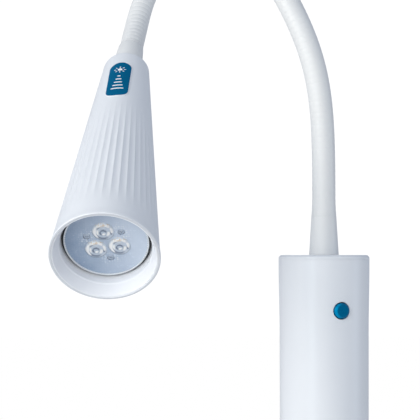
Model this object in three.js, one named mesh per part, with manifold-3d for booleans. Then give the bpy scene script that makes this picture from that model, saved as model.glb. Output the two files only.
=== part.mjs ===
// Surgical examination light: an LED head on a gooseneck, on a base that swivels in a table clamp.
// Millimetres, +Z up, +X to the right, +Y to the rear.
// The origin is the centre of the clamp's upper jaw face, which rests on the table top.

import * as THREE from 'three';
import { mergeVertices } from 'three/addons/utils/BufferGeometryUtils.js';
import Module from 'manifold-3d';

const wasm = await Module();
wasm.setup();

// ---------------------------------------------------------------- driving dimensions

const GAP = 0.3; // clearance between pieces that touch on the real object
const DEGREE = Math.PI / 180;

// Clamp
const JAW_WIDTH = 26;
const JAW_PAD = 2.5; // rubber thickness on both jaws
const ARM = 12; // thickness of the C-frame's arms and spine
const ARM_TOP = JAW_PAD + GAP + ARM;
const THROAT = 50; // opening between the rubber faces with the screw wound back
const LOWER_ARM_TOP = -THROAT - 10;
const THROAT_DEPTH = 32; // from the screw's axis to the spine
const SOCKET_TOP = 40;
const SOCKET_RADIUS = 14;
const SPIGOT_RADIUS = 8;
const SCREW_RADIUS = 5;
const SCREW_TRAVEL = 42;
const KNOB_RADIUS = 20;
const KNOB_HEIGHT = 20;

// Base
const BASE_TOP = 196; // height of the base's top face over the origin
const BASE_RADIUS = 30;
const BASE_FOOT_RADIUS = 29.4; // the housing narrows a little downwards
const BASE_LENGTH = 154;
const BASE_WALL = 2.4;
const CAP_HEIGHT = 2.7;
const CAP_EDGE = 1.3; // rounding of the top edge
const FLOOR_HEIGHT = 4; // thickness of the bottom cap
const COLLAR_HEIGHT = 25.7;
const COLLAR_FOOT_RADIUS = 9.9;
const COLLAR_TOP_RADIUS = 8.1;
const BUTTON_DROP = 36.3; // from the base's top face down to the button's centre
const BUTTON_ANGLE = 17.6 * DEGREE; // turned from the front towards +X
const BUTTON_RADIUS = 5.4;
const BUTTON_HOLE_RADIUS = 5.8;
const BOARD_DISTANCE = 12; // from the base's axis to the control board's back
const BOARD_FACE = BOARD_DISTANCE + 1.6;
const BOARD_HALF_WIDTH = 20;
const BOARD_TOP = -20;
const BOARD_BOTTOM = -104;
const JACK_DROP = 132; // from the base's top face down to the supply inlet
const CAP_SCREW_CIRCLE = 23.4;
const CAP_SCREW_ANGLES = [30, 150, 270].map((angle) => angle * DEGREE);

// Gooseneck: control points of its axis, from inside the base to inside the head,
// counted from the centre of the base's top face
const NECK_POINTS = [
  [0, 0, -16], [0, 0, 10], [0, 0, 40], [0, 0, 72], [-2, 0, 112], [-13, 2, 152], [-41, 20, 206],
  [-72, 45, 224], [-104, 59, 211], [-122, 55, 183], [-127, 38, 157], [-130, 17, 138.5],
  [-131.7, -0.5, 123.8], [-132, -8.2, 117.4],
];
const NECK_ROOT = 16; // length of the axis below the base's top face
const ARCH_NORMAL = new THREE.Vector3(0.3, 0.95, 0).normalize(); // across the neck's arch
const NECK_HINGES = 8;
const HINGE_OPENING = 4.2; // bare core between two stretches of sheath
const SHEATH_RADIUS = 7.9;
const SHEATH_BORE = 6.9;
const CORE_RADIUS = 4.6;
const CORE_BORE = 1.9;
const BALL_RADIUS = 4.9;
const STEM_RADIUS = 2.8;
const CUP_RADIUS = 6.4;
const CAVITY_RADIUS = 5.6;
const FERRULE_HEIGHT = 23;
const FERRULE_TAIL = 10; // length of the axis inside the head
const FERRULE_THREAD = 7; // radius of the threaded tail

// Head: a fluted cone with its mouth at the wide end
const MOUTH_CENTRE = new THREE.Vector3(-137.2, -150, -1.3); // from the base's top face
const MOUTH_TURN = -2.1 * DEGREE; // aim of the beam, turned from the front towards +X
const MOUTH_DIP = 39.9 * DEGREE; // aim of the beam, below the horizontal
const MOUTH_RADIUS = 32.5;
const CONE_ANGLE = 5.15 * DEGREE;
const HEAD_LENGTH = 195;
const HEAD_WALL = 2;
const LIP = 1.5; // thickness of the wall round the bezel ring
const LIP_FLARE = 0.55; // how far the mouth's rim swells beyond the cone
const LIP_LENGTH = 7; // depth over which it swells
const SHOULDER = 4; // rounding of the narrow end
const FLUTES = 40;
const FLUTE_TURN = 4 * DEGREE; // of the first ridge, from the mouth's right-hand side
const FLUTE_DEPTH = 0.5;
const FLUTE_START = 12; // distances behind the mouth
const FLUTE_END = 130;
const FLUTE_FADE = 22;
const LENS_RADIUS = 25.2;
const LENS_DEPTH = 12.6; // from the mouth back to the lens cover's face
const LENS_THICKNESS = 2.4;
const OPTIC_RADIUS = 6.6;
const OPTIC_CIRCLE = 8.2;
const OPTIC_ANGLES = [101, 221, 341].map((angle) => angle * DEGREE);
const LONG_SCREW_CIRCLE = 12; // the screws that hold the lens cover and the LED board to the heat sink
const LONG_SCREW_ANGLES = [41, 161, 281].map((angle) => angle * DEGREE);
const LONG_SCREW_RADIUS = 1.3;
const LONG_SCREW_HOLE = 1.6;
const LONG_SCREW_BITE = 6; // length in the heat sink
const LED_BOARD_DEPTH = 28.8;
const LED_BOARD_THICKNESS = 1.6;
const SINK_DEPTH = 30.7;
const SINK_FIN_LENGTH = 32;
const BADGE_ANGLE = 96.5 * DEGREE;
const BADGE_WIDTH = 14.3;
const BADGE_CORNER = 5;
const BADGE_LOW = 135.2; // distances behind the mouth
const BADGE_HIGH = 178.2;

// ---------------------------------------------------------------- materials

function material(color, roughness, metalness = 0) {
  return new THREE.MeshStandardMaterial({ color, roughness, metalness });
}

const MATERIALS = {
  white: material(0xe6eaf0, 0.35),
  neck: material(0xdbdde1, 0.5),
  blue: material(0x005988, 0.3),
  frost: material(0xaab8cc, 0.2),
  clear: material(0xdfe8f2, 0.08),
  emitter: material(0xe8cf7a, 0.4),
  board: material(0xe9ecef, 0.5),
  green: material(0x2b6b45, 0.5),
  steel: material(0xb9bcc2, 0.3, 0.9),
  sink: material(0x8f949b, 0.45, 0.8),
  coat: material(0xd5d9df, 0.4, 0.2),
  black: material(0x24262a, 0.6),
  rubber: material(0x3a3d42, 0.85),
};

// ---------------------------------------------------------------- solid helpers

/** Merges shared vertices, drops triangles without area and turns the faces outwards. */
function closed(geometry) {
  geometry.deleteAttribute('normal');
  geometry.deleteAttribute('uv');
  const merged = mergeVertices(geometry, 1e-3);
  const corners = Array.from(merged.index.array);
  const kept = [];
  for (let i = 0; i < corners.length; i += 3) {
    const triangle = corners.slice(i, i + 3);
    if (new Set(triangle).size === 3) kept.push(triangle);
  }
  if (signedVolume(merged.attributes.position, kept) < 0) {
    kept.forEach((triangle) => triangle.reverse());
  }
  merged.setIndex(kept.flat());
  return merged;
}

function signedVolume(position, triangles) {
  const [a, b, c] = [new THREE.Vector3(), new THREE.Vector3(), new THREE.Vector3()];
  return triangles.reduce((sum, [i, j, k]) => {
    a.fromBufferAttribute(position, i);
    b.fromBufferAttribute(position, j);
    c.fromBufferAttribute(position, k);
    return sum + a.dot(b.cross(c)) / 6;
  }, 0);
}

function toManifold(geometry) {
  const mesh = closed(geometry.clone());
  return new wasm.Manifold(new wasm.Mesh({
    numProp: 3,
    vertProperties: new Float32Array(mesh.attributes.position.array),
    triVerts: new Uint32Array(mesh.index.array),
  }));
}

function toGeometry(manifold) {
  const mesh = manifold.getMesh();
  const geometry = new THREE.BufferGeometry();
  const places = new Float32Array(mesh.vertProperties);
  geometry.setAttribute('position', new THREE.BufferAttribute(places, 3));
  geometry.setIndex(new THREE.BufferAttribute(new Uint32Array(mesh.triVerts), 1));
  return geometry;
}

function join(first, ...others) {
  const bodies = others.map(toManifold);
  return toGeometry(bodies.reduce((body, other) => body.add(other), toManifold(first)));
}

function cut(first, ...others) {
  const tools = others.map(toManifold);
  return toGeometry(tools.reduce((body, tool) => body.subtract(tool), toManifold(first)));
}

function common(first, second) {
  return toGeometry(toManifold(first).intersect(toManifold(second)));
}

/** A body turned about Z. The outline is [radius, height] pairs; off the axis it closes on itself. */
function turned(outline, segments = 32) {
  const points = outline.map(([radius, height]) => new THREE.Vector2(radius, height));
  if (outline[0][0] > 0) points.push(points[0].clone());
  return closed(new THREE.LatheGeometry(points, segments).rotateX(Math.PI / 2));
}

function rod(radius, low, high, segments = 16) {
  return turned([[0, low], [radius, low], [radius, high], [0, high]], segments);
}

function tube(outer, inner, low, high, segments = 32) {
  return turned([[inner, low], [outer, low], [outer, high], [inner, high]], segments);
}

function block([x0, y0, z0], [x1, y1, z1]) {
  const box = new THREE.BoxGeometry(x1 - x0, y1 - y0, z1 - z0);
  return closed(box.translate((x0 + x1) / 2, (y0 + y1) / 2, (z0 + z1) / 2));
}

/** A flat outline in XY, pushed from one height to another. */
function pushed(shape, low, high, curveSegments = 6) {
  const geometry = new THREE.ExtrudeGeometry(shape, {
    depth: high - low,
    bevelEnabled: false,
    curveSegments,
  });
  return closed(geometry.translate(0, 0, low));
}

/** A round lead of solid section along a smooth line through the given points. */
function lead(points, radius, steps) {
  const section = new THREE.Shape().absarc(0, 0, radius, 0, 2 * Math.PI);
  const path = new THREE.CatmullRomCurve3(points.map((point) => new THREE.Vector3(...point)));
  return closed(new THREE.ExtrudeGeometry(section, { steps, curveSegments: 3, extrudePath: path }));
}

function roundedRectangle(width, depth, radius) {
  const [x, y] = [width / 2 - radius, depth / 2 - radius];
  const shape = new THREE.Shape();
  shape.absarc(x, y, radius, 0, Math.PI / 2);
  shape.absarc(-x, y, radius, Math.PI / 2, Math.PI);
  shape.absarc(-x, -y, radius, Math.PI, 1.5 * Math.PI);
  shape.absarc(x, -y, radius, 1.5 * Math.PI, 2 * Math.PI);
  return shape;
}

function onCircle(radius, angle) {
  return [radius * Math.cos(angle), radius * Math.sin(angle), 0];
}

function node(name, geometry, look) {
  const mesh = new THREE.Mesh(closed(geometry), MATERIALS[look]);
  mesh.name = name;
  return mesh;
}

function groupOf(...children) {
  const group = new THREE.Group();
  group.add(...children.flat());
  return group;
}

// ---------------------------------------------------------------- clamp

const UPPER_ARM_TIP = -20; // the arms' free ends
const LOWER_ARM_TIP = -15;
const SOCKET_FLOOR = ARM_TOP + 3;
const BUSH_OUTER = SPIGOT_RADIUS + 2;
const BUSH_FLANGE_RADIUS = 13;
const BUSH_FLANGE = 1.4;
const SCREW_BOSS_RADIUS = 10;
const SCREW_BOSS_DROP = 4; // below the lower arm
const LOWER_ARM_BOTTOM = LOWER_ARM_TOP - ARM;
const KNOB_TOP = LOWER_ARM_BOTTOM - SCREW_BOSS_DROP - SCREW_TRAVEL - 1;

/** The C-frame's outline in its own plane, with x to the spine and y up. */
function clampOutline() {
  const [outer, inner] = [8, 4]; // rounding of the spine's corners
  const outside = THROAT_DEPTH + ARM - outer;
  const inside = THROAT_DEPTH - inner;
  const shape = new THREE.Shape();
  shape.moveTo(UPPER_ARM_TIP, ARM_TOP - ARM);
  shape.lineTo(inside, ARM_TOP - ARM);
  shape.absarc(inside, ARM_TOP - ARM - inner, inner, Math.PI / 2, 0, true);
  shape.absarc(inside, LOWER_ARM_TOP + inner, inner, 0, -Math.PI / 2, true);
  shape.lineTo(LOWER_ARM_TIP, LOWER_ARM_TOP);
  shape.lineTo(LOWER_ARM_TIP, LOWER_ARM_BOTTOM);
  shape.absarc(outside, LOWER_ARM_BOTTOM + outer, outer, -Math.PI / 2, 0);
  shape.absarc(outside, ARM_TOP - outer, outer, 0, Math.PI / 2);
  shape.lineTo(UPPER_ARM_TIP, ARM_TOP);
  return shape;
}

function clampFrame() {
  const arms = pushed(clampOutline(), -JAW_WIDTH / 2, JAW_WIDTH / 2, 3).rotateX(Math.PI / 2);
  const socket = rod(SOCKET_RADIUS, ARM_TOP - 4, SOCKET_TOP, 28);
  const bossFoot = LOWER_ARM_BOTTOM - SCREW_BOSS_DROP;
  const screwBoss = rod(SCREW_BOSS_RADIUS, bossFoot, LOWER_ARM_TOP - 1, 20);
  const bore = rod(BUSH_OUTER + GAP, SOCKET_FLOOR, SOCKET_TOP + 1, 24);
  const screwHole = rod(SCREW_RADIUS + GAP, bossFoot - 1, LOWER_ARM_TOP + 1, 16);
  return cut(join(arms, socket, screwBoss), bore, screwHole);
}

function frictionBush() {
  const low = SOCKET_FLOOR + GAP;
  const flange = SOCKET_TOP + GAP;
  return turned([
    [SPIGOT_RADIUS + GAP, low], [BUSH_OUTER, low], [BUSH_OUTER, flange], [BUSH_FLANGE_RADIUS, flange],
    [BUSH_FLANGE_RADIUS, flange + BUSH_FLANGE], [SPIGOT_RADIUS + GAP, flange + BUSH_FLANGE],
  ], 24);
}

const PLATE_RADIUS = 13;
const PLATE_TOP = -THROAT - JAW_PAD - GAP;
const PLATE_BOTTOM = LOWER_ARM_TOP + 0.5;
const CUP_FLOOR = PLATE_TOP - 2; // of the hollow that takes the screw's tip
const PLATE_HUB_RADIUS = 7.5;
const TIP_RADIUS = 4;
const KNOB_BORE = 14; // depth of the screw in the knob

function pressurePlate() {
  return turned([
    [0, PLATE_TOP], [PLATE_RADIUS, PLATE_TOP], [PLATE_RADIUS, PLATE_TOP - 2.5],
    [PLATE_HUB_RADIUS, PLATE_TOP - 3.5], [PLATE_HUB_RADIUS, PLATE_BOTTOM],
    [TIP_RADIUS + GAP, PLATE_BOTTOM], [TIP_RADIUS + GAP, CUP_FLOOR], [0, CUP_FLOOR],
  ], 20);
}

function clampScrew() {
  const [tip, shank] = [CUP_FLOOR - GAP, PLATE_BOTTOM - GAP];
  return turned([
    [0, tip], [TIP_RADIUS, tip], [TIP_RADIUS, shank], [SCREW_RADIUS, shank],
    [SCREW_RADIUS, KNOB_TOP - KNOB_BORE], [0, KNOB_TOP - KNOB_BORE],
  ], 16);
}

/** A round knob with five hollows for the fingers and a blind bore for the screw. */
function clampKnob() {
  const lobes = 5;
  const [hollowRadius, hollowCircle, hub] = [7, KNOB_RADIUS + 3.2, 9];
  const foot = KNOB_TOP - KNOB_HEIGHT;
  const body = turned([
    [0, foot], [KNOB_RADIUS - 5, foot], [KNOB_RADIUS, foot + 4], [KNOB_RADIUS, KNOB_TOP - 7],
    [KNOB_RADIUS - 4, KNOB_TOP - 4], [hub, KNOB_TOP - 3], [hub, KNOB_TOP], [0, KNOB_TOP],
  ], 30);
  const hollows = Array.from({ length: lobes }, (_, i) => {
    const angle = (2 * Math.PI * i) / lobes;
    return rod(hollowRadius, foot - 1, KNOB_TOP + 1, 10).translate(...onCircle(hollowCircle, angle));
  });
  const bore = rod(SCREW_RADIUS + GAP, KNOB_TOP - KNOB_BORE - GAP, KNOB_TOP + 1, 16);
  return cut(body, ...hollows, bore);
}

function makeClamp() {
  return groupOf(
    node('clamp_frame', clampFrame(), 'coat'),
    node('jaw_pad', pushed(roundedRectangle(36, JAW_WIDTH, 4), 0, JAW_PAD, 3), 'rubber'),
    node('friction_bush', frictionBush(), 'black'),
    node('pressure_plate', pressurePlate(), 'steel'),
    node('plate_pad', rod(PLATE_RADIUS, -THROAT - JAW_PAD, -THROAT, 20), 'rubber'),
    node('clamp_screw', clampScrew(), 'steel'),
    node('clamp_knob', clampKnob(), 'black'),
  );
}

// ---------------------------------------------------------------- base
// Heights are counted from the base's top face, downwards negative.

const HOUSING_TOP = -CAP_HEIGHT - GAP;
const FLOOR_TOP = -BASE_LENGTH + FLOOR_HEIGHT;
const HOUSING_BOTTOM = FLOOR_TOP + GAP;
const HUB_RADIUS = 12;
const HUB_TOP = FLOOR_TOP + 12;
const CROSS_PIN_HEIGHT = HUB_TOP - 5;
const PIN_RADIUS = 1.5; // the cross pin and the cap screws' shanks
const CAP_SCREW_TOP = HOUSING_BOTTOM + 9;
const CAP_SCREW_SINK = 2.3; // depth of the hollows for the cap screws' heads
const CAP_SCREW_HEAD = 2.9;
const JACK_RADIUS = 5;
const JACK_FLANGE = 6.4;

/** Turns a piece made along +X, with its centre on X and heights along Z, to the button's side. */
function towardsButton(geometry) {
  return geometry.rotateZ(BUTTON_ANGLE - Math.PI / 2).translate(0, 0, -BUTTON_DROP);
}

/** A body turned about +X, made from [radius, distance from the base's axis] pairs. */
function turnedForward(outline, segments) {
  return turned(outline, segments).rotateY(Math.PI / 2);
}

/** Turns a piece made along +Z to the rear, at the supply inlet's height. */
function towardsRear(geometry) {
  return geometry.rotateX(-Math.PI / 2).translate(0, 0, -JACK_DROP);
}

/** One piece from make() for each of the bottom cap's screws. */
function atCapScrews(make) {
  return CAP_SCREW_ANGLES.map((angle) => make().translate(...onCircle(CAP_SCREW_CIRCLE, angle)));
}

/** Two ribs on each side hold the control board by its edges. */
function boardRails() {
  const [thickness, back, front] = [1.6, BOARD_DISTANCE - GAP, BOARD_FACE + GAP];
  const spans = [[back - thickness, back], [front, front + thickness]];
  const ribs = spans.flatMap(([near, far]) => [-1, 1].map((side) => {
    const edges = [side * (BOARD_HALF_WIDTH - 1.5), side * (BOARD_HALF_WIDTH + 5)].sort((a, b) => a - b);
    return block([near, edges[0], BOARD_BOTTOM + 4], [far, edges[1], BOARD_TOP - 4]);
  }));
  return ribs.map((rib) => rib.rotateZ(BUTTON_ANGLE - Math.PI / 2));
}

function housing() {
  const foot = BASE_FOOT_RADIUS;
  const shell = turned([
    [BASE_RADIUS - BASE_WALL, HOUSING_TOP], [BASE_RADIUS, HOUSING_TOP], [foot, HOUSING_BOTTOM],
    [foot - BASE_WALL, HOUSING_BOTTOM],
  ], 36);
  const bosses = atCapScrews(() => rod(3.8, HOUSING_BOTTOM, HOUSING_BOTTOM + 12, 10));
  const pilots = atCapScrews(() => rod(PIN_RADIUS + GAP, HOUSING_BOTTOM - 1, CAP_SCREW_TOP + GAP, 6));
  const [near, far] = [BASE_RADIUS - 10, BASE_RADIUS + 5];
  const buttonHole = towardsButton(turnedForward([
    [0, near], [BUTTON_HOLE_RADIUS, near], [BUTTON_HOLE_RADIUS, far], [0, far],
  ], 18));
  const jackHole = towardsRear(rod(JACK_RADIUS + GAP, near, far, 16));
  return cut(join(shell, ...boardRails(), ...bosses), ...pilots, buttonHole, jackHole);
}

/** The lid, with its rounded edge, the skirt that centres it and the hole for the collar's thread. */
function topCap() {
  const edge = Array.from({ length: 4 }, (_, i) => {
    const angle = (Math.PI / 2) * (1 - i / 3);
    return [BASE_RADIUS - CAP_EDGE * (1 - Math.cos(angle)), -CAP_EDGE * (1 - Math.sin(angle))];
  });
  const skirt = BASE_RADIUS - BASE_WALL - 0.4;
  const [skirtWall, skirtFoot, underside] = [1.8, -9, -4.2];
  return turned([
    [COLLAR_TOP_RADIUS + GAP, 0], ...edge, [BASE_RADIUS, -CAP_HEIGHT], [skirt, -CAP_HEIGHT],
    [skirt, skirtFoot], [skirt - skirtWall, skirtFoot], [skirt - skirtWall, underside],
    [COLLAR_TOP_RADIUS + GAP, underside],
  ], 36);
}

/** The tapered collar at the neck's foot, with a threaded tail through the lid. */
function footCollar() {
  const [bore, tail] = [CORE_RADIUS + 0.4, -13];
  return turned([
    [bore, tail], [COLLAR_TOP_RADIUS, tail], [COLLAR_TOP_RADIUS, GAP], [COLLAR_FOOT_RADIUS, GAP],
    [COLLAR_FOOT_RADIUS - 0.2, 2], [COLLAR_TOP_RADIUS + 0.2, COLLAR_HEIGHT - 1.5],
    [COLLAR_TOP_RADIUS - 0.1, COLLAR_HEIGHT], [bore, COLLAR_HEIGHT],
  ], 20);
}

function hexagonRing(radius, bore, low, high) {
  const shape = new THREE.Shape();
  for (let i = 0; i < 6; i += 1) {
    const [x, y] = onCircle(radius, (i * Math.PI) / 3);
    if (i === 0) shape.moveTo(x, y);
    else shape.lineTo(x, y);
  }
  shape.holes.push(new THREE.Path().absarc(0, 0, bore, 0, 2 * Math.PI));
  return pushed(shape, low, high, 10);
}

/** Cap, retaining flange and the stem that reaches the switch, along +X from the base's axis. */
function button() {
  return towardsButton(turnedForward([
    [0, 19.8], [2, 19.8], [2, 22.4], [6.8, 22.4], [6.8, 23.9], [BUTTON_RADIUS, 24.2], [BUTTON_RADIUS, 30],
    [BUTTON_RADIUS - 0.8, 30.8], [0, 31],
  ], 18));
}

function buttonSeal() {
  return towardsButton(turnedForward([
    [BUTTON_RADIUS + GAP, 24.4], [8.4, 24.4], [8.4, 25.4], [BUTTON_RADIUS + GAP, 25.4],
  ], 18));
}

function tactSwitch() {
  const low = BOARD_FACE + GAP;
  const half = 3.1;
  const body = block([low, -half, -half], [low + 3.4, half, half]);
  const plunger = turnedForward([[0, low + 3], [1.7, low + 3], [1.7, low + 4.4], [0, low + 4.4]], 10);
  return towardsButton(join(body, plunger));
}

/** The control board with the parts soldered to it: a storage coil, a capacitor and a connector. */
function controlBoard() {
  const board = block(
    [BOARD_DISTANCE, -BOARD_HALF_WIDTH, BOARD_BOTTOM],
    [BOARD_FACE, BOARD_HALF_WIDTH, BOARD_TOP],
  );
  const back = BOARD_DISTANCE + 0.2;
  const coil = block([back - 7, -15, -72], [back, -3, -60]);
  const capacitor = turnedForward([[0, 0], [4, 0], [4, back], [0, back]], 12).translate(0, 9, -84);
  const connector = block([BOARD_FACE - 0.2, -6, -99], [BOARD_FACE + 6, 6, -92]);
  return join(board, coil, capacitor, connector).rotateZ(BUTTON_ANGLE - Math.PI / 2);
}

/** The supply inlet: an outer flange, a barrel with its bore and the contact pin in it. */
function dcJack() {
  const [back, floor, mouth] = [14, 19, BASE_RADIUS + 1];
  const [bore, pin] = [3.1, 1];
  return towardsRear(turned([
    [0, back], [JACK_RADIUS, back], [JACK_RADIUS, mouth - 1.3], [JACK_FLANGE, mouth - 1.3],
    [JACK_FLANGE, mouth], [bore, mouth], [bore, floor], [pin, floor], [pin, mouth - 2.4], [0, mouth - 2],
  ], 16));
}

function bottomCap() {
  const floor = -BASE_LENGTH;
  const plate = turned([
    [SPIGOT_RADIUS + GAP, floor], [BASE_FOOT_RADIUS - 1, floor], [BASE_FOOT_RADIUS, floor + 1],
    [BASE_FOOT_RADIUS, FLOOR_TOP], [HUB_RADIUS, FLOOR_TOP], [HUB_RADIUS, HUB_TOP],
    [SPIGOT_RADIUS + GAP, HUB_TOP],
  ], 36);
  const sinkFloor = floor + CAP_SCREW_SINK;
  const screwHoles = atCapScrews(() => turned([
    [0, floor - 1], [CAP_SCREW_HEAD + GAP, floor - 1], [CAP_SCREW_HEAD + GAP, sinkFloor],
    [PIN_RADIUS + GAP, sinkFloor], [PIN_RADIUS + GAP, FLOOR_TOP + 1], [0, FLOOR_TOP + 1],
  ], 8));
  return cut(plate, ...screwHoles, crossRod(PIN_RADIUS + GAP, HUB_RADIUS + 1));
}

/** A rod along X at the cross pin's height. */
function crossRod(radius, reach) {
  return rod(radius, -reach, reach, 8).rotateY(Math.PI / 2).translate(0, 0, CROSS_PIN_HEIGHT);
}

function capScrew() {
  const [face, seat] = [-BASE_LENGTH + GAP, -BASE_LENGTH + CAP_SCREW_SINK - GAP];
  return turned([
    [0, face], [CAP_SCREW_HEAD, face], [CAP_SCREW_HEAD, seat], [PIN_RADIUS, seat],
    [PIN_RADIUS, CAP_SCREW_TOP], [0, CAP_SCREW_TOP],
  ], 8);
}

/** The steel spigot that turns in the clamp's bush and stops on the hub by its head. */
function spigot() {
  const foot = SOCKET_FLOOR + 1.2 - BASE_TOP;
  const [head, headLow, headHigh] = [11, HUB_TOP + GAP, HUB_TOP + 2.8];
  const body = turned([
    [0, foot], [SPIGOT_RADIUS - 1, foot], [SPIGOT_RADIUS, foot + 1], [SPIGOT_RADIUS, headLow],
    [head, headLow], [head, headHigh], [0, headHigh],
  ], 24);
  return cut(body, crossRod(PIN_RADIUS + GAP, SPIGOT_RADIUS + 1));
}

/** The supply lead, from the back of the inlet up the rear of the housing and into the neck's core. */
function baseLead() {
  const route = [
    [0, 13.5, -JACK_DROP], [0, 10, -JACK_DROP + 1], [0, 8, -JACK_DROP + 10], [2, 11, -100], [3, 12, -60],
    [1, 6, -34], [0, 0, -22], [0, 0, -13],
  ];
  return lead(route, 1.4, 16);
}

function makeBase() {
  const screws = CAP_SCREW_ANGLES.map((angle, i) => {
    const screw = node(`cap_screw_${i + 1}`, capScrew(), 'steel');
    screw.position.set(...onCircle(CAP_SCREW_CIRCLE, angle));
    return screw;
  });
  const base = groupOf(
    node('base_housing', housing(), 'white'),
    node('top_cap', topCap(), 'white'),
    node('foot_collar', footCollar(), 'white'),
    node('neck_locknut', hexagonRing(13, COLLAR_TOP_RADIUS + GAP, -11.5, -4.5), 'steel'),
    node('power_button', button(), 'blue'),
    node('button_seal', buttonSeal(), 'rubber'),
    node('tact_switch', tactSwitch(), 'black'),
    node('control_board', controlBoard(), 'green'),
    node('dc_jack', dcJack(), 'black'),
    node('base_lead', baseLead(), 'black'),
    node('bottom_cap', bottomCap(), 'white'),
    node('spigot', spigot(), 'steel'),
    node('spigot_cross_pin', crossRod(PIN_RADIUS, HUB_RADIUS - 1), 'steel'),
    screws,
  );
  base.position.z = BASE_TOP;
  return base;
}

// ---------------------------------------------------------------- gooseneck

/** Uniform cubic B-spline that starts at its first point and ends at its last one. */
class SplinePath extends THREE.Curve {
  constructor(points) {
    super();
    const [first, last] = [points[0], points.at(-1)];
    this.hull = [first, first, ...points, last, last];
    this.arcLengthDivisions = 1000;
  }

  getPoint(t, target = new THREE.Vector3()) {
    const spans = this.hull.length - 3;
    const span = Math.min(Math.floor(t * spans), spans - 1);
    const w = t * spans - span;
    const weights = [
      (1 - w) ** 3, 3 * w ** 3 - 6 * w ** 2 + 4, -3 * w ** 3 + 3 * w ** 2 + 3 * w + 1, w ** 3,
    ];
    target.set(0, 0, 0);
    weights.forEach((weight, i) => target.addScaledVector(this.hull[span + i], weight / 6));
    return target;
  }
}

const neckPath = new SplinePath(NECK_POINTS.map((point) => new THREE.Vector3(...point)));
const neckLength = neckPath.getLength();
const SHEATH_START = NECK_ROOT + COLLAR_HEIGHT + GAP;
const SHEATH_END = neckLength - FERRULE_TAIL - GAP - FERRULE_HEIGHT - GAP;

/** Distances of the hinges along the neck's axis, evenly spread over the sheathed stretch. */
const HINGES = Array.from({ length: NECK_HINGES }, (_, i) => (
  SHEATH_START + ((i + 0.5) * (SHEATH_END - SHEATH_START)) / NECK_HINGES
));

/** A body turned about the neck's curved axis, from [radius, distance along the axis] pairs. */
function turnedAlongNeck(outline, segments) {
  const geometry = turned(outline, segments);
  const position = geometry.attributes.position;
  const vertex = new THREE.Vector3();
  for (let i = 0; i < position.count; i += 1) {
    vertex.fromBufferAttribute(position, i);
    const share = Math.min(Math.max(vertex.z / neckLength, 0), 1);
    const tangent = neckPath.getTangentAt(share);
    const slant = tangent.dot(ARCH_NORMAL);
    const across = ARCH_NORMAL.clone().addScaledVector(tangent, -slant).normalize();
    const sideways = tangent.clone().cross(across);
    const place = neckPath.getPointAt(share);
    place.addScaledVector(across, vertex.x).addScaledVector(sideways, vertex.y);
    position.setXYZ(i, place.x, place.y, place.z);
  }
  return geometry;
}

function evenly(from, to, count) {
  return Array.from({ length: count }, (_, i) => from + ((to - from) * i) / (count - 1));
}

function sheath(from, to) {
  const stations = evenly(from, to, 6);
  return turnedAlongNeck([
    ...stations.map((s) => [SHEATH_RADIUS, s]),
    ...stations.reverse().map((s) => [SHEATH_BORE, s]),
  ], 12);
}

/** The ball that starts a length of core, around the hinge it turns on. */
function ballOutline(hinge) {
  return [
    [CORE_BORE, hinge - 4.5], [3.8, hinge - 3], [BALL_RADIUS, hinge], [3.6, hinge + 3.3],
    [STEM_RADIUS, hinge + 4.6], [CORE_RADIUS, hinge + 8],
  ];
}

/** The cup that ends a length of core and holds the next one's ball. */
function cupOutline(hinge) {
  return [
    [CORE_RADIUS, hinge - 8], [CUP_RADIUS, hinge - 6], [CUP_RADIUS, hinge + 1.2], [4.9, hinge + 2.6],
    [CAVITY_RADIUS, hinge], [4.3, hinge - 3.6], [CORE_BORE, hinge - 5.4],
  ];
}

function core(from, to) {
  const start = from ? ballOutline(from) : [[CORE_BORE, 0.5], [CORE_RADIUS, 0.5]];
  const end = to ? cupOutline(to) : [[CORE_RADIUS, neckLength - 0.5], [CORE_BORE, neckLength - 0.5]];
  const [low, high] = [start.at(-1)[1], end[0][1]];
  const middle = evenly(low, high, 3).slice(1, -1);
  return turnedAlongNeck([
    ...start,
    ...middle.map((s) => [CORE_RADIUS, s]),
    ...end,
    ...middle.reverse().map((s) => [CORE_BORE, s]),
  ], 10);
}

/** The tapered ferrule on the head, with a threaded tail through the head's rear wall. */
function ferrule() {
  const bore = CORE_RADIUS + 0.4;
  const [top, face, tail] = [SHEATH_END + GAP, neckLength - FERRULE_TAIL - GAP, neckLength - 1.5];
  const middle = (top + face) / 2;
  return turnedAlongNeck([
    [bore, top], [8.4, top], [9.1, middle], [9.5, face], [FERRULE_THREAD, face], [FERRULE_THREAD, tail],
    [bore, tail], [bore, middle],
  ], 18);
}

function ferruleNut() {
  const face = neckLength - FERRULE_TAIL + HEAD_WALL + 1.2;
  const [bore, outer, height] = [FERRULE_THREAD + GAP, 11, 4];
  return turnedAlongNeck([[bore, face], [outer, face], [outer, face + height], [bore, face + height]], 12);
}

function makeNeck() {
  const half = HINGE_OPENING / 2;
  const lengths = Array.from({ length: NECK_HINGES + 1 }, (_, i) => [HINGES[i - 1], HINGES[i]]);
  const neck = groupOf(
    lengths.map(([from, to], i) => node(`neck_core_${i + 1}`, core(from, to), 'steel')),
    lengths.map(([from, to], i) => node(
      `neck_sheath_${i + 1}`,
      sheath(from ? from + half : SHEATH_START, to ? to - half : SHEATH_END),
      'neck',
    )),
    node('ferrule', ferrule(), 'neck'),
    node('ferrule_nut', ferruleNut(), 'steel'),
  );
  neck.position.z = BASE_TOP;
  return neck;
}

// ---------------------------------------------------------------- head
// In the head's own frame +Z is the beam and the mouth is at z = 0, so depths are negative.
// X points right across the mouth and Y up across it.

const CONE_SEGMENTS = 2 * FLUTES;
const BEZEL_FACE = 1; // distances behind the mouth
const BEZEL_EDGE = 8; // where the flared wall ends and the well round the lens cover starts
const BEZEL_BACK = 18.5;
const BEZEL_EDGE_RADIUS = 27.8;
const WELL_RADIUS = 26.9;

function coneRadius(depth) {
  return MOUTH_RADIUS - Math.tan(CONE_ANGLE) * depth;
}

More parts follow.
